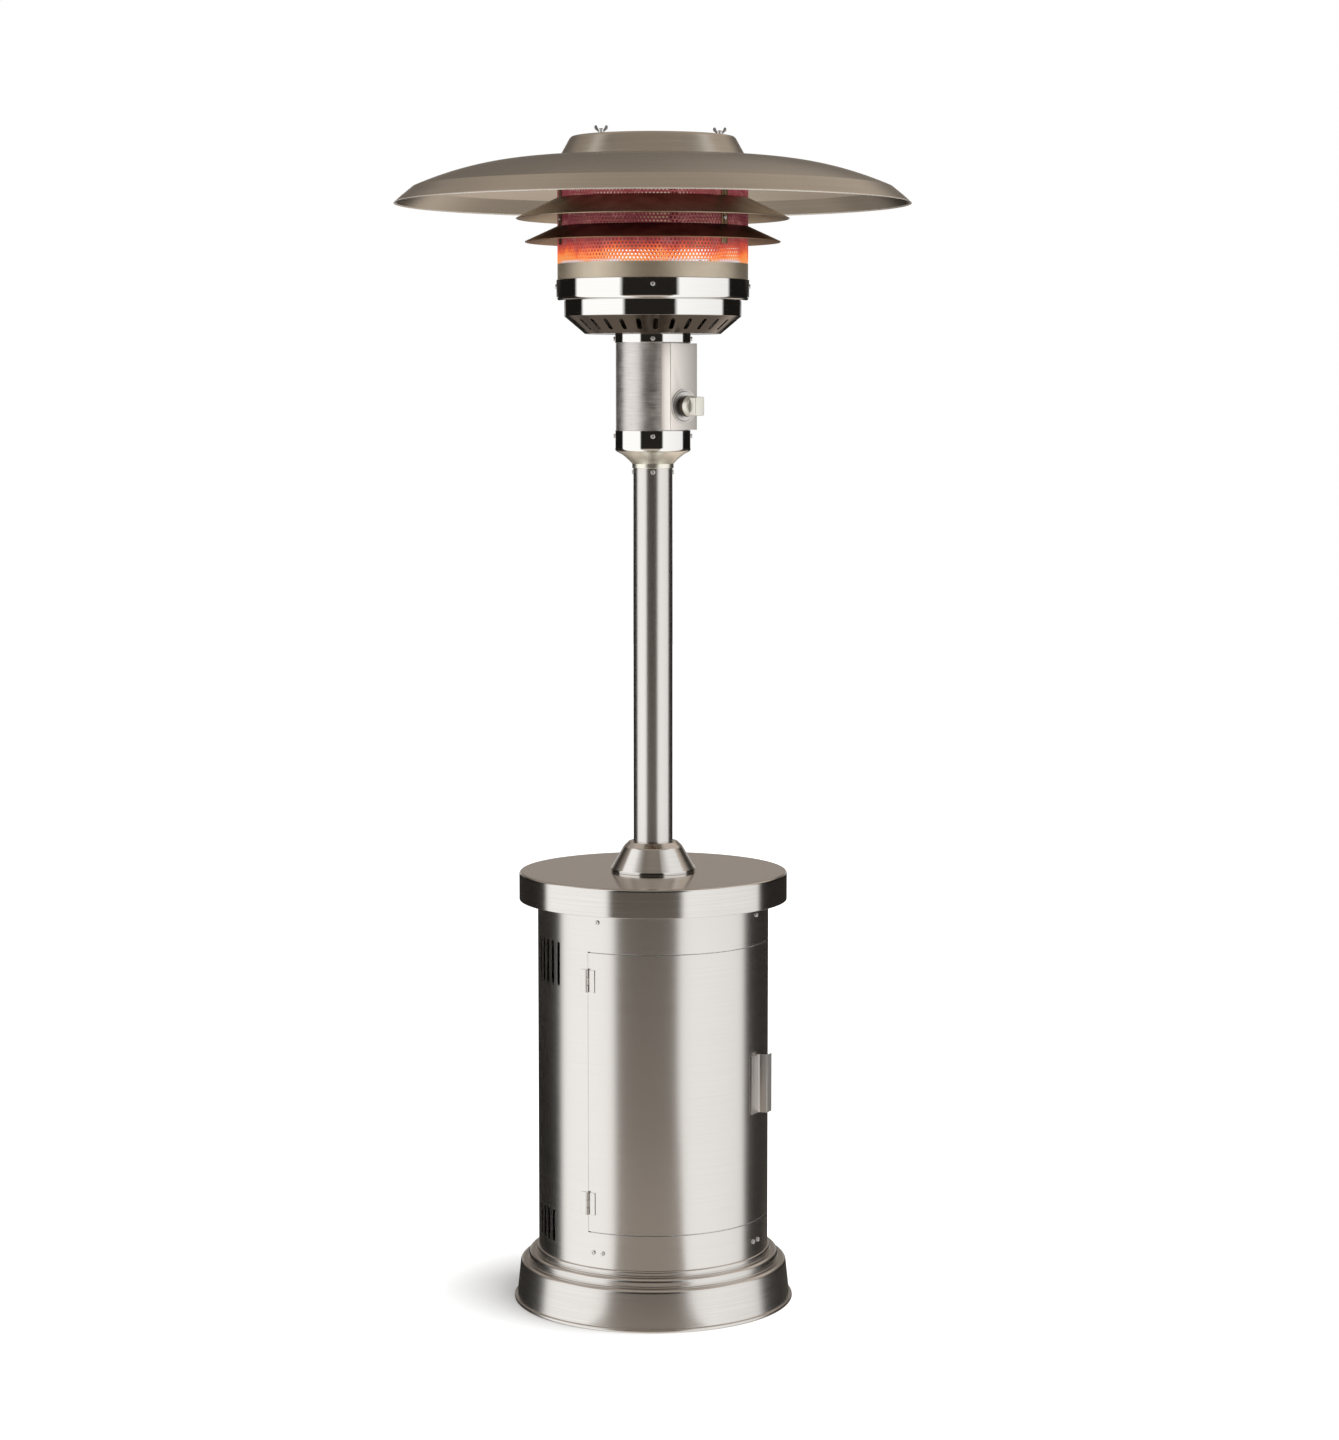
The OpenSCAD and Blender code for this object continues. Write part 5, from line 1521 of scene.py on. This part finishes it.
@dataclass
class Burner:
    """Slotted bowl, collar, burner pan and the pieces that light the gas."""

    sheet: float = SHEET
    way_r: float = 18.0
    foot_r: float = 109.0
    cone_h: float = 28.0
    slots: int = 30
    slot_w: float = 7.5
    slot_len: float = 26.0
    slot_margin: Point = (1.06, 1.2)
    band_lap: float = 0.3
    collar_flange_w: float = 30.0
    collar_round: float = 5.0
    steps: int = 6
    halvings: int = 40

    def slot_edge(self, along: float, across: float) -> Point:
        """Point of a slot's outline in a direction from its middle.

        Args:
            along: part of the direction along the slot.
            across: part of the direction across it.
        Returns:
            The point, along and across the slot.
        """
        straight = (self.slot_len - self.slot_w) / 2
        low, high = 0.0, self.slot_len
        length = math.hypot(along, across)
        for _ in range(self.halvings):
            reach = (low + high) / 2
            v, u = reach * along / length, reach * across / length
            inside = math.hypot(max(abs(v) - straight, 0.0), u) < self.slot_w / 2
            low, high = (reach, high) if inside else (low, reach)
        return low * along / length, low * across / length

    def slot_sector(self, bowl: Span) -> Solid:
        """Makes one sector of the bowl's cone, with its slot.

        Args:
            bowl: reach of the bowl.
        Returns:
            The sector as an open sheet that faces down and out.
        """
        slope = math.atan2(self.cone_h, bowl.r - self.foot_r)
        half_len = math.hypot(self.cone_h, bowl.r - self.foot_r) / 2
        mid_r, mid_z = (self.foot_r + bowl.r) / 2, bowl.foot + self.cone_h / 2
        half_turn = math.pi / self.slots
        border: list[Point] = [(-half_len + half_len * k / self.steps, 1.0) for k in range(2 * self.steps)]
        border += [(half_len, 1.0 - 2.0 * k / self.steps) for k in range(self.steps)]
        border += [(-v, -u) for v, u in border]
        sheet = bmesh.new()

        def spot(v: float, u: float) -> bmesh.types.BMVert:
            """Vertex on the cone at a distance along it and across it."""
            r = mid_r + v * math.cos(slope)
            return sheet.verts.new(polar(math.degrees(u / r + half_turn), r, mid_z + v * math.sin(slope)))

        outer, middle, inner = [], [], []
        for v, share in border:
            u = share * half_turn * (mid_r + v * math.cos(slope))
            edge_v, edge_u = self.slot_edge(v, u)
            outer.append(spot(v, u))
            middle.append(spot(edge_v * self.slot_margin[0], edge_u * self.slot_margin[1]))
            inner.append(spot(edge_v, edge_u))
        bridge(sheet, outer, middle)
        bridge(sheet, middle, inner)
        bmesh.ops.recalc_face_normals(sheet, faces=sheet.faces)
        if sum(face.normal.z * face.calc_area() for face in sheet.faces) > 0:
            bmesh.ops.reverse_faces(sheet, faces=sheet.faces)
        return sheet

    def bowl(self) -> None:
        """Makes the bowl: floor, slotted cone and polished band."""
        span = Span.of("burner_bowl")
        wall = self.sheet
        band_foot, inside = span.foot + self.cone_h - self.band_lap, span.r - wall
        cone = thickened(RepeatTree().grow(self.slot_sector(span), BOWL_WITH_PAINTED_SHADE, Count=self.slots), wall)
        floor = rounded(ring(self.way_r, self.foot_r, span.foot, span.foot + wall), steps=3)
        band = rounded([(span.r, band_foot, 0.5), (span.r, span.top, EDGE), (inside, span.top, EDGE),
                        (inside, band_foot, EDGE)], steps=4)
        bowl = joined((cone, lathe(floor, sides=120), lathe(band, sides=180)))
        add_piece("burner_bowl", bowl, BOWL_WITH_PAINTED_SHADE)
        soften(("bowl_bolts", PLATED, 0.3))

    def collar(self) -> None:
        """Turns the polished collar round the foot of the screen."""
        span = Span.of("burner_collar")
        wall, turn = self.sheet, self.collar_round
        inner, inside = span.r - self.collar_flange_w, span.r - wall
        turned("burner_collar", [
            (inner, span.foot, EDGE), (span.r, span.foot, turn), (span.r, span.top, 0.7),
            (inside, span.top, EDGE), (inside, span.foot + wall, turn - wall),
            (inner, span.foot + wall, EDGE)], POLISHED, steps=7, sides=192)

    def build(self) -> None:
        """Makes the burner's pieces."""
        self.bowl()
        self.collar()
        soften(("burner_pan", BURNER, 0.4), ("flame_plate", BURNER, 0.5), ("pilot_burner", BRASS, 0.4),
               ("thermocouple", COPPER, 0.3), ("igniter_electrode", CERAMIC, 0.3))


@dataclass
class Emitter:
    """Glowing perforated screen with its top plate, straps and deflector rings."""

    wall: float = 1.2
    border_top: float = 1687.0
    head_h: float = 6.0
    holes_round: int = 156
    rows: int = 24
    opening: float = 0.62
    lap: float = 0.3
    sheet: float = SHEET
    way_gap: float = 0.2
    roll: Point = (1.0, 0.4)
    roll_foot: float = 1.2
    foot_share: float = 1.4

    def screen(self) -> None:
        """Makes the screen: plain borders and a perforated band."""
        span = Span.of("emitter_screen")
        head_foot, lap = span.top - self.head_h, self.lap
        band = ScreenTree().grow(
            bmesh.new(), GLOW, Holes_Round=self.holes_round, Rows=self.rows, Radius=span.r * MM,
            Height=(head_foot - self.border_top) * MM, Foot=self.border_top * MM, Opening=self.opening)
        parts = [thickened(band, self.wall)]
        for foot, top in ((span.foot, self.border_top + lap), (head_foot - lap, span.top)):
            border = ring(span.r - self.wall, span.r, foot, top, (lap, lap))
            parts.append(lathe(rounded(border, steps=3), sides=160))
        add_piece("emitter_screen", joined(parts), GLOW)
        soften(("emitter_top", BURNER, 0.5))

    def deflector(self, node: str, finish: Finish) -> None:
        """Turns a deflector: a cone with a rolled outer edge.

        Args:
            node: node that it stands for.
            finish: its finish.
        """
        span = Span.of(node)
        inner, wall = Span.of("burner_collar").r + self.way_gap, self.sheet
        turned(node, [
            (inner, span.top, EDGE), (span.r - self.roll[0], span.foot + wall + self.roll[1], 1.5),
            (span.r, span.foot + wall, 0.6), (span.r, span.foot, 0.6),
            (span.r - self.roll_foot, span.foot, 0.5), (inner, span.top - self.foot_share * wall, EDGE)],
            finish, steps=5, sides=192)

    def build(self) -> None:
        """Makes the screen, its straps and the rings round it."""
        self.screen()
        self.deflector("lower_deflector", DEFLECTOR_LOW)
        self.deflector("upper_deflector", DEFLECTOR)
        soften(("ring_straps", DEFLECTOR, 0.35))


@dataclass
class Reflector:
    """Wide spun dish, its cap, studs and wing nuts."""

    sheet: float = SHEET
    inner_r: float = 141.0
    dome_r: float = 155.0
    dome_drop: float = 44.5
    dome_swell: float = 13.5
    dome_steps: int = 26
    band_w: float = 19.5
    band_h: float = 16.0
    band_round: float = 5.0
    lip_w: float = 10.5
    lip_t: float = 0.9
    crease: float = 8.0
    cap_r: float = 151.0
    cap_top_r: float = 131.5
    cap_edge: float = 3.0
    stud_r: float = 3.0
    stud_gap: float = 0.1
    stud_pcd_r: float = 111.0
    stud_az: float = 53.0
    thirds: int = 3
    hub_r: float = 5.0
    hub_h: float = 6.5
    hub_draft: float = 1.2
    wing_t: float = 2.0
    wing_az: float = -20.0
    wing: tuple[Corner, ...] = ((3.6, 1.6, 0.4), (5.6, 3.4, 1.2), (10.4, 7.4, 2.0), (11.0, 11.6, 2.6),
                                (7.2, 13.6, 2.6), (4.6, 7.6, 1.6), (3.6, 6.0, 0.4))

    def line(self, down: float, lip: float) -> list[Corner]:
        """Face of the dish from its inner edge to its lip.

        Args:
            down: how far below the upper face.
            lip: height of its end above the foot of the dish.
        Returns:
            Radius, height and rounding of each corner.
        """
        span = Span.of("reflector")
        top = Span.of("reflector_cap").foot - down
        band_r, crease_z = span.r - self.lip_w, top - self.dome_drop
        crease_r = band_r - self.band_w
        dome = swollen((self.dome_r, top), (crease_r, crease_z), self.dome_swell,
                       [k / self.dome_steps for k in range(self.dome_steps)])
        return [(self.inner_r, top, EDGE), *dome, (crease_r, crease_z, self.crease),
                (band_r, crease_z - self.band_h, self.band_round), (span.r, span.foot + lip, EDGE)]

    def dish(self) -> None:
        """Turns the dish and its cap."""
        cap, edge, wall = Span.of("reflector_cap"), self.cap_edge, self.sheet
        faces = self.line(0.0, self.lip_t) + self.line(wall, 0.0)[::-1]
        turned("reflector", faces, DISH_PAINTED_RIM_HIGHLIGHT, steps=5, sides=240)
        turned("reflector_cap", [
            (self.inner_r, cap.foot, 0.3), (self.cap_r, cap.foot, 0.5),
            (self.cap_top_r + edge / 2, cap.top - edge, 2.5), (self.cap_top_r - edge / 2, cap.top, 2.5),
            (0.0, cap.top, 0.0), (0.0, cap.top - wall, 0.0), (self.cap_top_r - edge, cap.top - wall, 1.5),
            (self.cap_top_r - wall, cap.top - edge - wall / 2, 1.5),
            (self.cap_r - 2 * wall, cap.foot + wall, EDGE), (self.inner_r, cap.foot + wall, 0.3)],
            DISH, steps=5, sides=192)

    def wing_nut(self) -> Solid:
        """Makes one wing nut on the main axis: a tapered hub and two leaning ears.

        Returns:
            The nut's mesh.
        """
        bore, top_r = self.stud_r + self.stud_gap, self.hub_r - self.hub_draft
        hub = rounded([(bore, 0.0, 0.2), (self.hub_r, 0.0, 0.6), (top_r, self.hub_h, 1.0),
                       (bore, self.hub_h, 0.3)], steps=4)
        parts = [lathe(hub, sides=40)]
        for side in (-1, 1):
            ear = rounded([(side * x, y, turn) for x, y, turn in self.wing], steps=5)
            plate = softened(prism(ear, -self.wing_t / 2, self.wing_t / 2), width=0.6, steps=3)
            parts.append(moved(plate, turn_about("X", 90)))
        return joined(parts)

    def studs(self) -> None:
        """Sets the wing nuts on the studs, and softens studs and spacers."""
        foot = Span.of("wing_nuts").foot
        turns = [self.stud_az + 360 / self.thirds * k for k in range(self.thirds)]
        spots = [Matrix.Translation(polar(turn, self.stud_pcd_r, foot)) for turn in turns]
        lean = turn_about("Z", self.wing_az)
        add_piece("wing_nuts", joined(moved(self.wing_nut(), spot @ lean) for spot in spots), PLATED)
        soften(("reflector_studs", BURNER, 0.3), ("stud_spacers", BURNER, 0.3))

    def build(self) -> None:
        """Makes the reflector's pieces."""
        self.dish()
        self.studs()


@dataclass(frozen=True)
class Sight:
    """Where in the room a mirror looks.

    Angles round the heater are in degrees from the camera, and the rise above its heart is in radians.
    sideways is 1 to its right and -1 to its left, rear is 1 behind it and 0 in front.
    """

    angle: Socket
    away: Socket
    rise: Socket
    sideways: Socket
    rear: Socket


@dataclass
class Studio:
    """Camera, soft light, pale floor and the dim room that the metal mirrors; sizes are in metres."""

    camera_az: float = -20.0
    distance: float = 5.330
    eye: float = 1.4866
    pitch: float = 5.71
    yaw: float = 0.287
    lens: float = 82.5
    frame_h: float = 36.0
    soft_light: float = 0.6
    room_r: float = 30.0
    room_h: float = 30.0
    sides: int = 96
    heart: float = 1.0
    left_box: Point = (-104.0, -38.0)
    right_box: Point = (24.5, 102.5)
    box_edge: float = 2.5
    box_top: Point = (45.5, 48.5)
    box_turn: Point = (-10.0, 10.0)
    box_fade: Point = (-3.0, 3.0)
    lean: float = 5.5
    lean_rise: Point = (-2.5, -0.5)
    box_glow: float = 1.3
    far_glow: float = 1.1
    behind: Point = (100.0, 110.0)
    aside: Point = (142.0, 152.0)
    backdrop: Point = (156.0, 160.0)
    level: Point = (1.5, 3.0)
    wall_tint: Colour = (1.0, 0.88, 0.77)
    front_wall: tuple[Point, ...] = (
        (-90, 0.6), (-60, 0.8), (-35, 0.8), (-24, 0.5), (-16, 0.36), (-12, 0.28), (-9, 0.11), (-6, 0.08),
        (-4, 0.05), (0, 0.02), (20, 0.015), (34, 0.1), (44, 0.2), (50, 0.25), (60, 0.52), (75, 0.55),
        (90, 0.5))
    side_wall: tuple[Point, ...] = (
        (-90, 0.5), (-45, 0.4), (-26, 0.05), (-9, 0.03), (-3, 0.012), (6, 0.012), (16, 0.06), (26, 0.12),
        (42, 0.3), (52, 0.62), (70, 0.6), (90, 0.55))
    back_wall: tuple[Point, ...] = (
        (-90, 0.6), (-50, 0.85), (-24, 0.85), (-16, 0.05), (-9, 0.03), (-3, 0.012), (3, 0.012), (6, 0.4),
        (10, 0.38), (14, 0.17), (28, 0.24), (42, 0.34), (56, 0.5), (76, 0.58), (90, 0.56))
    flank_tone: float = 0.72
    flank_rise: Point = (20.0, 30.0)
    flank_end: Point = (62.0, 70.0)
    right_flank: Point = (0.0, 0.4)
    left_flank: Point = (0.3, 0.5)
    left_share: float = 0.5
    dim_tone: float = 0.4
    dim_turn: Point = (-0.25, 0.0)
    dim_rise: Point = (-44.0, -36.0)
    dim_end: Point = (-14.0, -10.0)
    sheen_tone: float = 0.38
    sheen_reach: Point = (0.25, 1.5)
    sheen_turn: Point = (-32.0, 26.0)
    sheen_z: float = 0.0005
    sheen_steps: int = 12
    floor_r: float = 14.0
    floor_tones: Point = (0.90, 0.92)
    speck: float = 900.0
    # Painted shade round the base: radii in metres over which the floor's glow rises from nil, and the glow
    # it reaches.
    painted_shade_ring: Point = (0.232, 0.38)
    glow_beyond_painted_shade: float = 0.4
    floor_glow: float = 0.3
    floor_fade: float = 2.8
    key_az: float = 42.0
    key_size: Point = (8.0, 3.0)
    key_distance: float = 2.6
    key_height: float = 1.7
    key_aim: float = 0.5
    key_power: float = 248.0

    def camera(self) -> None:
        """Sets the camera at the viewing angle of the picture."""
        data = bpy.data.cameras.new("camera")
        data.sensor_fit = "VERTICAL"
        data.sensor_height = self.frame_h
        data.lens = self.lens
        camera = bpy.data.objects.new("camera", data)
        camera.location = polar(self.camera_az, self.distance / MM, self.eye / MM)
        turn = math.radians(self.camera_az - self.yaw)
        camera.rotation_euler = (math.radians(90 - self.pitch), 0.0, turn)
        bpy.context.scene.collection.objects.link(camera)
        bpy.context.scene.camera = camera

    def world(self) -> None:
        """Makes the background white to the eye and in metal, and a soft light elsewhere."""
        world = bpy.data.worlds.new("studio")
        world.use_nodes = True
        bpy.context.scene.world = world
        wiring = Wiring(world.node_tree)
        path = wiring.add("ShaderNodeLightPath").outputs
        seen = path["Is Camera Ray"]
        for name in ("Is Glossy Ray", "Is Transmission Ray"):
            seen = wiring.calc("MAXIMUM", seen, path[name])
        mix = wiring.add("ShaderNodeMixShader")
        wiring.join(seen, mix.inputs[0])
        for index, strength in ((1, self.soft_light), (2, 1.0)):
            light = wiring.add("ShaderNodeBackground")
            light.inputs["Color"].default_value = (*WHITE, 1.0)
            light.inputs["Strength"].default_value = strength
            wiring.join(light.outputs[0], mix.inputs[index])
        wiring.join(mix.outputs[0], wiring.add("ShaderNodeOutputWorld").inputs["Surface"])

    def tinted(self, tone: float) -> Colour:
        """Colour of a wall of a tone."""
        return tuple(tone * part for part in self.wall_tint)

    def sight(self, shading: Shading) -> Sight:
        """Works out where in the room a mirror looks.

        Args:
            shading: tree of the room's material.
        Returns:
            The angles and shares of the place.
        """
        x, y, z = shading.axes()
        turn = math.radians(self.camera_az)
        cos, sin = math.cos(turn), math.sin(turn)
        side = shading.total(shading.product(x, cos), shading.product(y, sin))
        front = shading.calc("SUBTRACT", shading.product(x, sin), shading.product(y, cos))
        angle = shading.product(shading.calc("ARCTAN2", side, front), 180 / math.pi)
        reach = shading.reach()
        return Sight(angle, shading.calc("ABSOLUTE", angle),
                     shading.calc("ARCTAN2", shading.calc("SUBTRACT", z, self.heart), reach),
                     shading.calc("DIVIDE", side, reach), shading.mapped(front, (-1.0, 0.0), FALLING))

    def flanks(self, shading: Shading, sight: Sight) -> Socket:
        """Share of the glow high on the walls behind the heater, which is stronger to the right.

        Args:
            shading: tree of the room's material.
            sight: where a mirror looks.
        Returns:
            1 where the glow is full and 0 where there is none.
        """
        right = shading.mapped(sight.sideways, self.right_flank, RISING)
        leftwards = shading.product(sight.sideways, -1.0)
        left = shading.mapped(leftwards, self.left_flank, (0.0, self.left_share))
        return shading.product(shading.calc("MAXIMUM", right, left), sight.rear,
                               shading.eased(sight.rise, self.flank_rise, RISING),
                               shading.eased(sight.rise, self.flank_end, FALLING))

    def walls(self, shading: Shading, sight: Sight) -> Socket:
        """Colour of the room's walls.

        Args:
            shading: tree of the room's material.
            sight: where a mirror looks.
        Returns:
            The colour, without the soft boxes.
        """
        place = shading.eased(sight.rise, (-90.0, 90.0), RISING)
        front, side, back = (
            shading.ramp(place, [((turn + 90) / 180, self.tinted(tone)) for turn, tone in wall])
            for wall in (self.front_wall, self.side_wall, self.back_wall))
        walls = shading.blend(shading.mapped(sight.away, self.behind, RISING), front, side)
        walls = shading.blend(shading.mapped(sight.away, self.aside, RISING), walls, back)
        walls = shading.blend(self.flanks(shading, sight), walls, self.tinted(self.flank_tone))
        dim = shading.product(shading.mapped(sight.sideways, self.dim_turn, FALLING), sight.rear,
                              shading.eased(sight.rise, self.dim_rise, RISING),
                              shading.eased(sight.rise, self.dim_end, FALLING))
        walls = shading.blend(dim, walls, (self.dim_tone,) * 3, "MULTIPLY")
        level = shading.eased(shading.calc("ABSOLUTE", sight.rise), self.level, FALLING)
        behind = shading.product(shading.mapped(sight.away, self.backdrop, RISING), level)
        return shading.blend(behind, walls, WHITE)

    def band(self, shading: Shading, angle: Socket, edges: Point, lean: object = 0.0) -> Socket:
        """Share of a soft box at an angle.

        Args:
            shading: tree of the room's material.
            angle: angle from the camera, in degrees.
            edges: first and last angle of the box.
            lean: how much later the box starts, in degrees.
        Returns:
            1 inside the box and 0 outside, with soft edges.
        """
        first, last = ((edge - self.box_edge, edge + self.box_edge) for edge in edges)
        start = shading.mapped(shading.calc("SUBTRACT", angle, lean), first, RISING)
        return shading.product(start, shading.mapped(angle, last, FALLING))

    def room(self) -> None:
        """Makes the dim room with its two tall soft boxes, which only mirrors see."""
        shading = Shading("studio_room")
        sight = self.sight(shading)
        lean = shading.eased(sight.rise, self.lean_rise, (0.0, self.lean))
        boxes = shading.calc("MAXIMUM", self.band(shading, sight.angle, self.left_box),
                             self.band(shading, sight.angle, self.right_box, lean))
        top = shading.mapped(sight.angle, self.box_turn, [math.radians(edge) for edge in self.box_top])
        low = shading.eased(shading.calc("SUBTRACT", sight.rise, top), self.box_fade, FALLING)
        bright = shading.mapped(sight.angle, (0.0, self.right_box[1]), RISING)
        glowing = shading.blend(bright, (self.box_glow,) * 3, (self.far_glow,) * 3)
        light = shading.blend(shading.product(boxes, low), self.walls(shading, sight), glowing)
        r, h = self.room_r / MM, self.room_h / MM
        room = lathe([(0.0, -h), (r, -h), (r, h), (0.0, h)], self.sides)
        self.mirrored("studio_room", room, shading.emit(light))

    def sheen(self) -> None:
        """Lays a faint sheen on the floor in front, which only mirrors see."""
        first, last = self.sheen_turn
        plate = bmesh.new()
        rows = []
        for k in range(self.sheen_steps + 1):
            turn = self.camera_az + first + (last - first) * k / self.sheen_steps
            rows.append([plate.verts.new(polar(turn, r / MM, self.sheen_z / MM)) for r in self.sheen_reach])
        for one, two in zip(rows, rows[1:]):
            plate.faces.new((one[0], one[1], two[1], two[0]))
        material = Shading("floor_sheen").emit((*self.tinted(self.sheen_tone), 1.0))
        self.mirrored("floor_sheen", plate, material)

    def mirrored(self, name: str, solid: Solid, material: bpy.types.Material) -> None:
        """Sets up a part of the studio that only mirrors see.

        Args:
            name: name of the object.
            solid: its mesh, which is used up.
            material: its material.
        """
        thing = as_object(name, solid, material)
        for ray in ("camera", "diffuse", "shadow", "transmission", "volume_scatter"):
            setattr(thing, "visible_" + ray, False)

    def floor(self) -> None:
        """Lays the pale floor, which keeps the heater's shadow and has painted shade round the base, where
        its glow falls to nil.
        """
        shading = Shading("pale_floor")
        stops = [(stop, (tone,) * 3) for stop, tone in zip(NOISE, self.floor_tones)]
        tones = shading.ramp(shading.cloud(self.speck), stops)
        reach = shading.reach()
        # Painted shade: the floor's glow is nil next to the base and rises outwards, so the floor is darker
        # all round the base; farther out it rises on to keep the floor white.
        near = shading.mapped(reach, self.painted_shade_ring, (0.0, self.glow_beyond_painted_shade))
        far = shading.mapped(reach, (self.painted_shade_ring[1], self.floor_fade), (0.0, self.floor_glow))
        shading.feed(Roughness=1.0, Specular_IOR_Level=0.0, Base_Color=tones, Emission_Color=(*WHITE, 1.0),
                     Emission_Strength=shading.total(near, far))
        plate = bmesh.new()
        bmesh.ops.create_circle(plate, cap_ends=True, radius=self.floor_r, segments=self.sides)
        floor = as_object("pale_floor", plate, shading.material)
        floor.visible_glossy = False

    def light(self) -> None:
        """Sets the soft light that faces the heater."""
        data = bpy.data.lights.new("key_soft_box", "AREA")
        data.shape = "RECTANGLE"
        data.size, data.size_y = self.key_size
        data.energy = self.key_power
        data.color = WHITE
        lamp = bpy.data.objects.new("key_soft_box", data)
        lamp.location = polar(self.key_az, self.key_distance / MM, self.key_height / MM)
        aim = Vector((0.0, 0.0, self.key_aim)) - lamp.location
        lamp.rotation_euler = aim.to_track_quat("-Z", "Y").to_euler()
        lamp.visible_camera = False
        lamp.visible_glossy = False
        bpy.context.scene.collection.objects.link(lamp)

    def build(self) -> None:
        """Sets up the whole studio."""
        for step in (self.camera, self.world, self.room, self.sheen, self.floor, self.light):
            step()
        bpy.context.scene.view_settings.view_transform = "Standard"


def main() -> None:
    """Builds the heater piece by piece, then its studio, and logs what it builds."""
    logging.basicConfig(level=logging.INFO, format="%(name)s %(message)s")
    for assembly in (Base(), Cabinet(), Lid(), Post(), GasLine(), Head(), Burner(), Emitter(), Reflector(),
                     Fasteners(), Studio()):
        LOG.info("building %s", type(assembly).__name__)
        assembly.build()


if __name__ == "__main__":
    main()
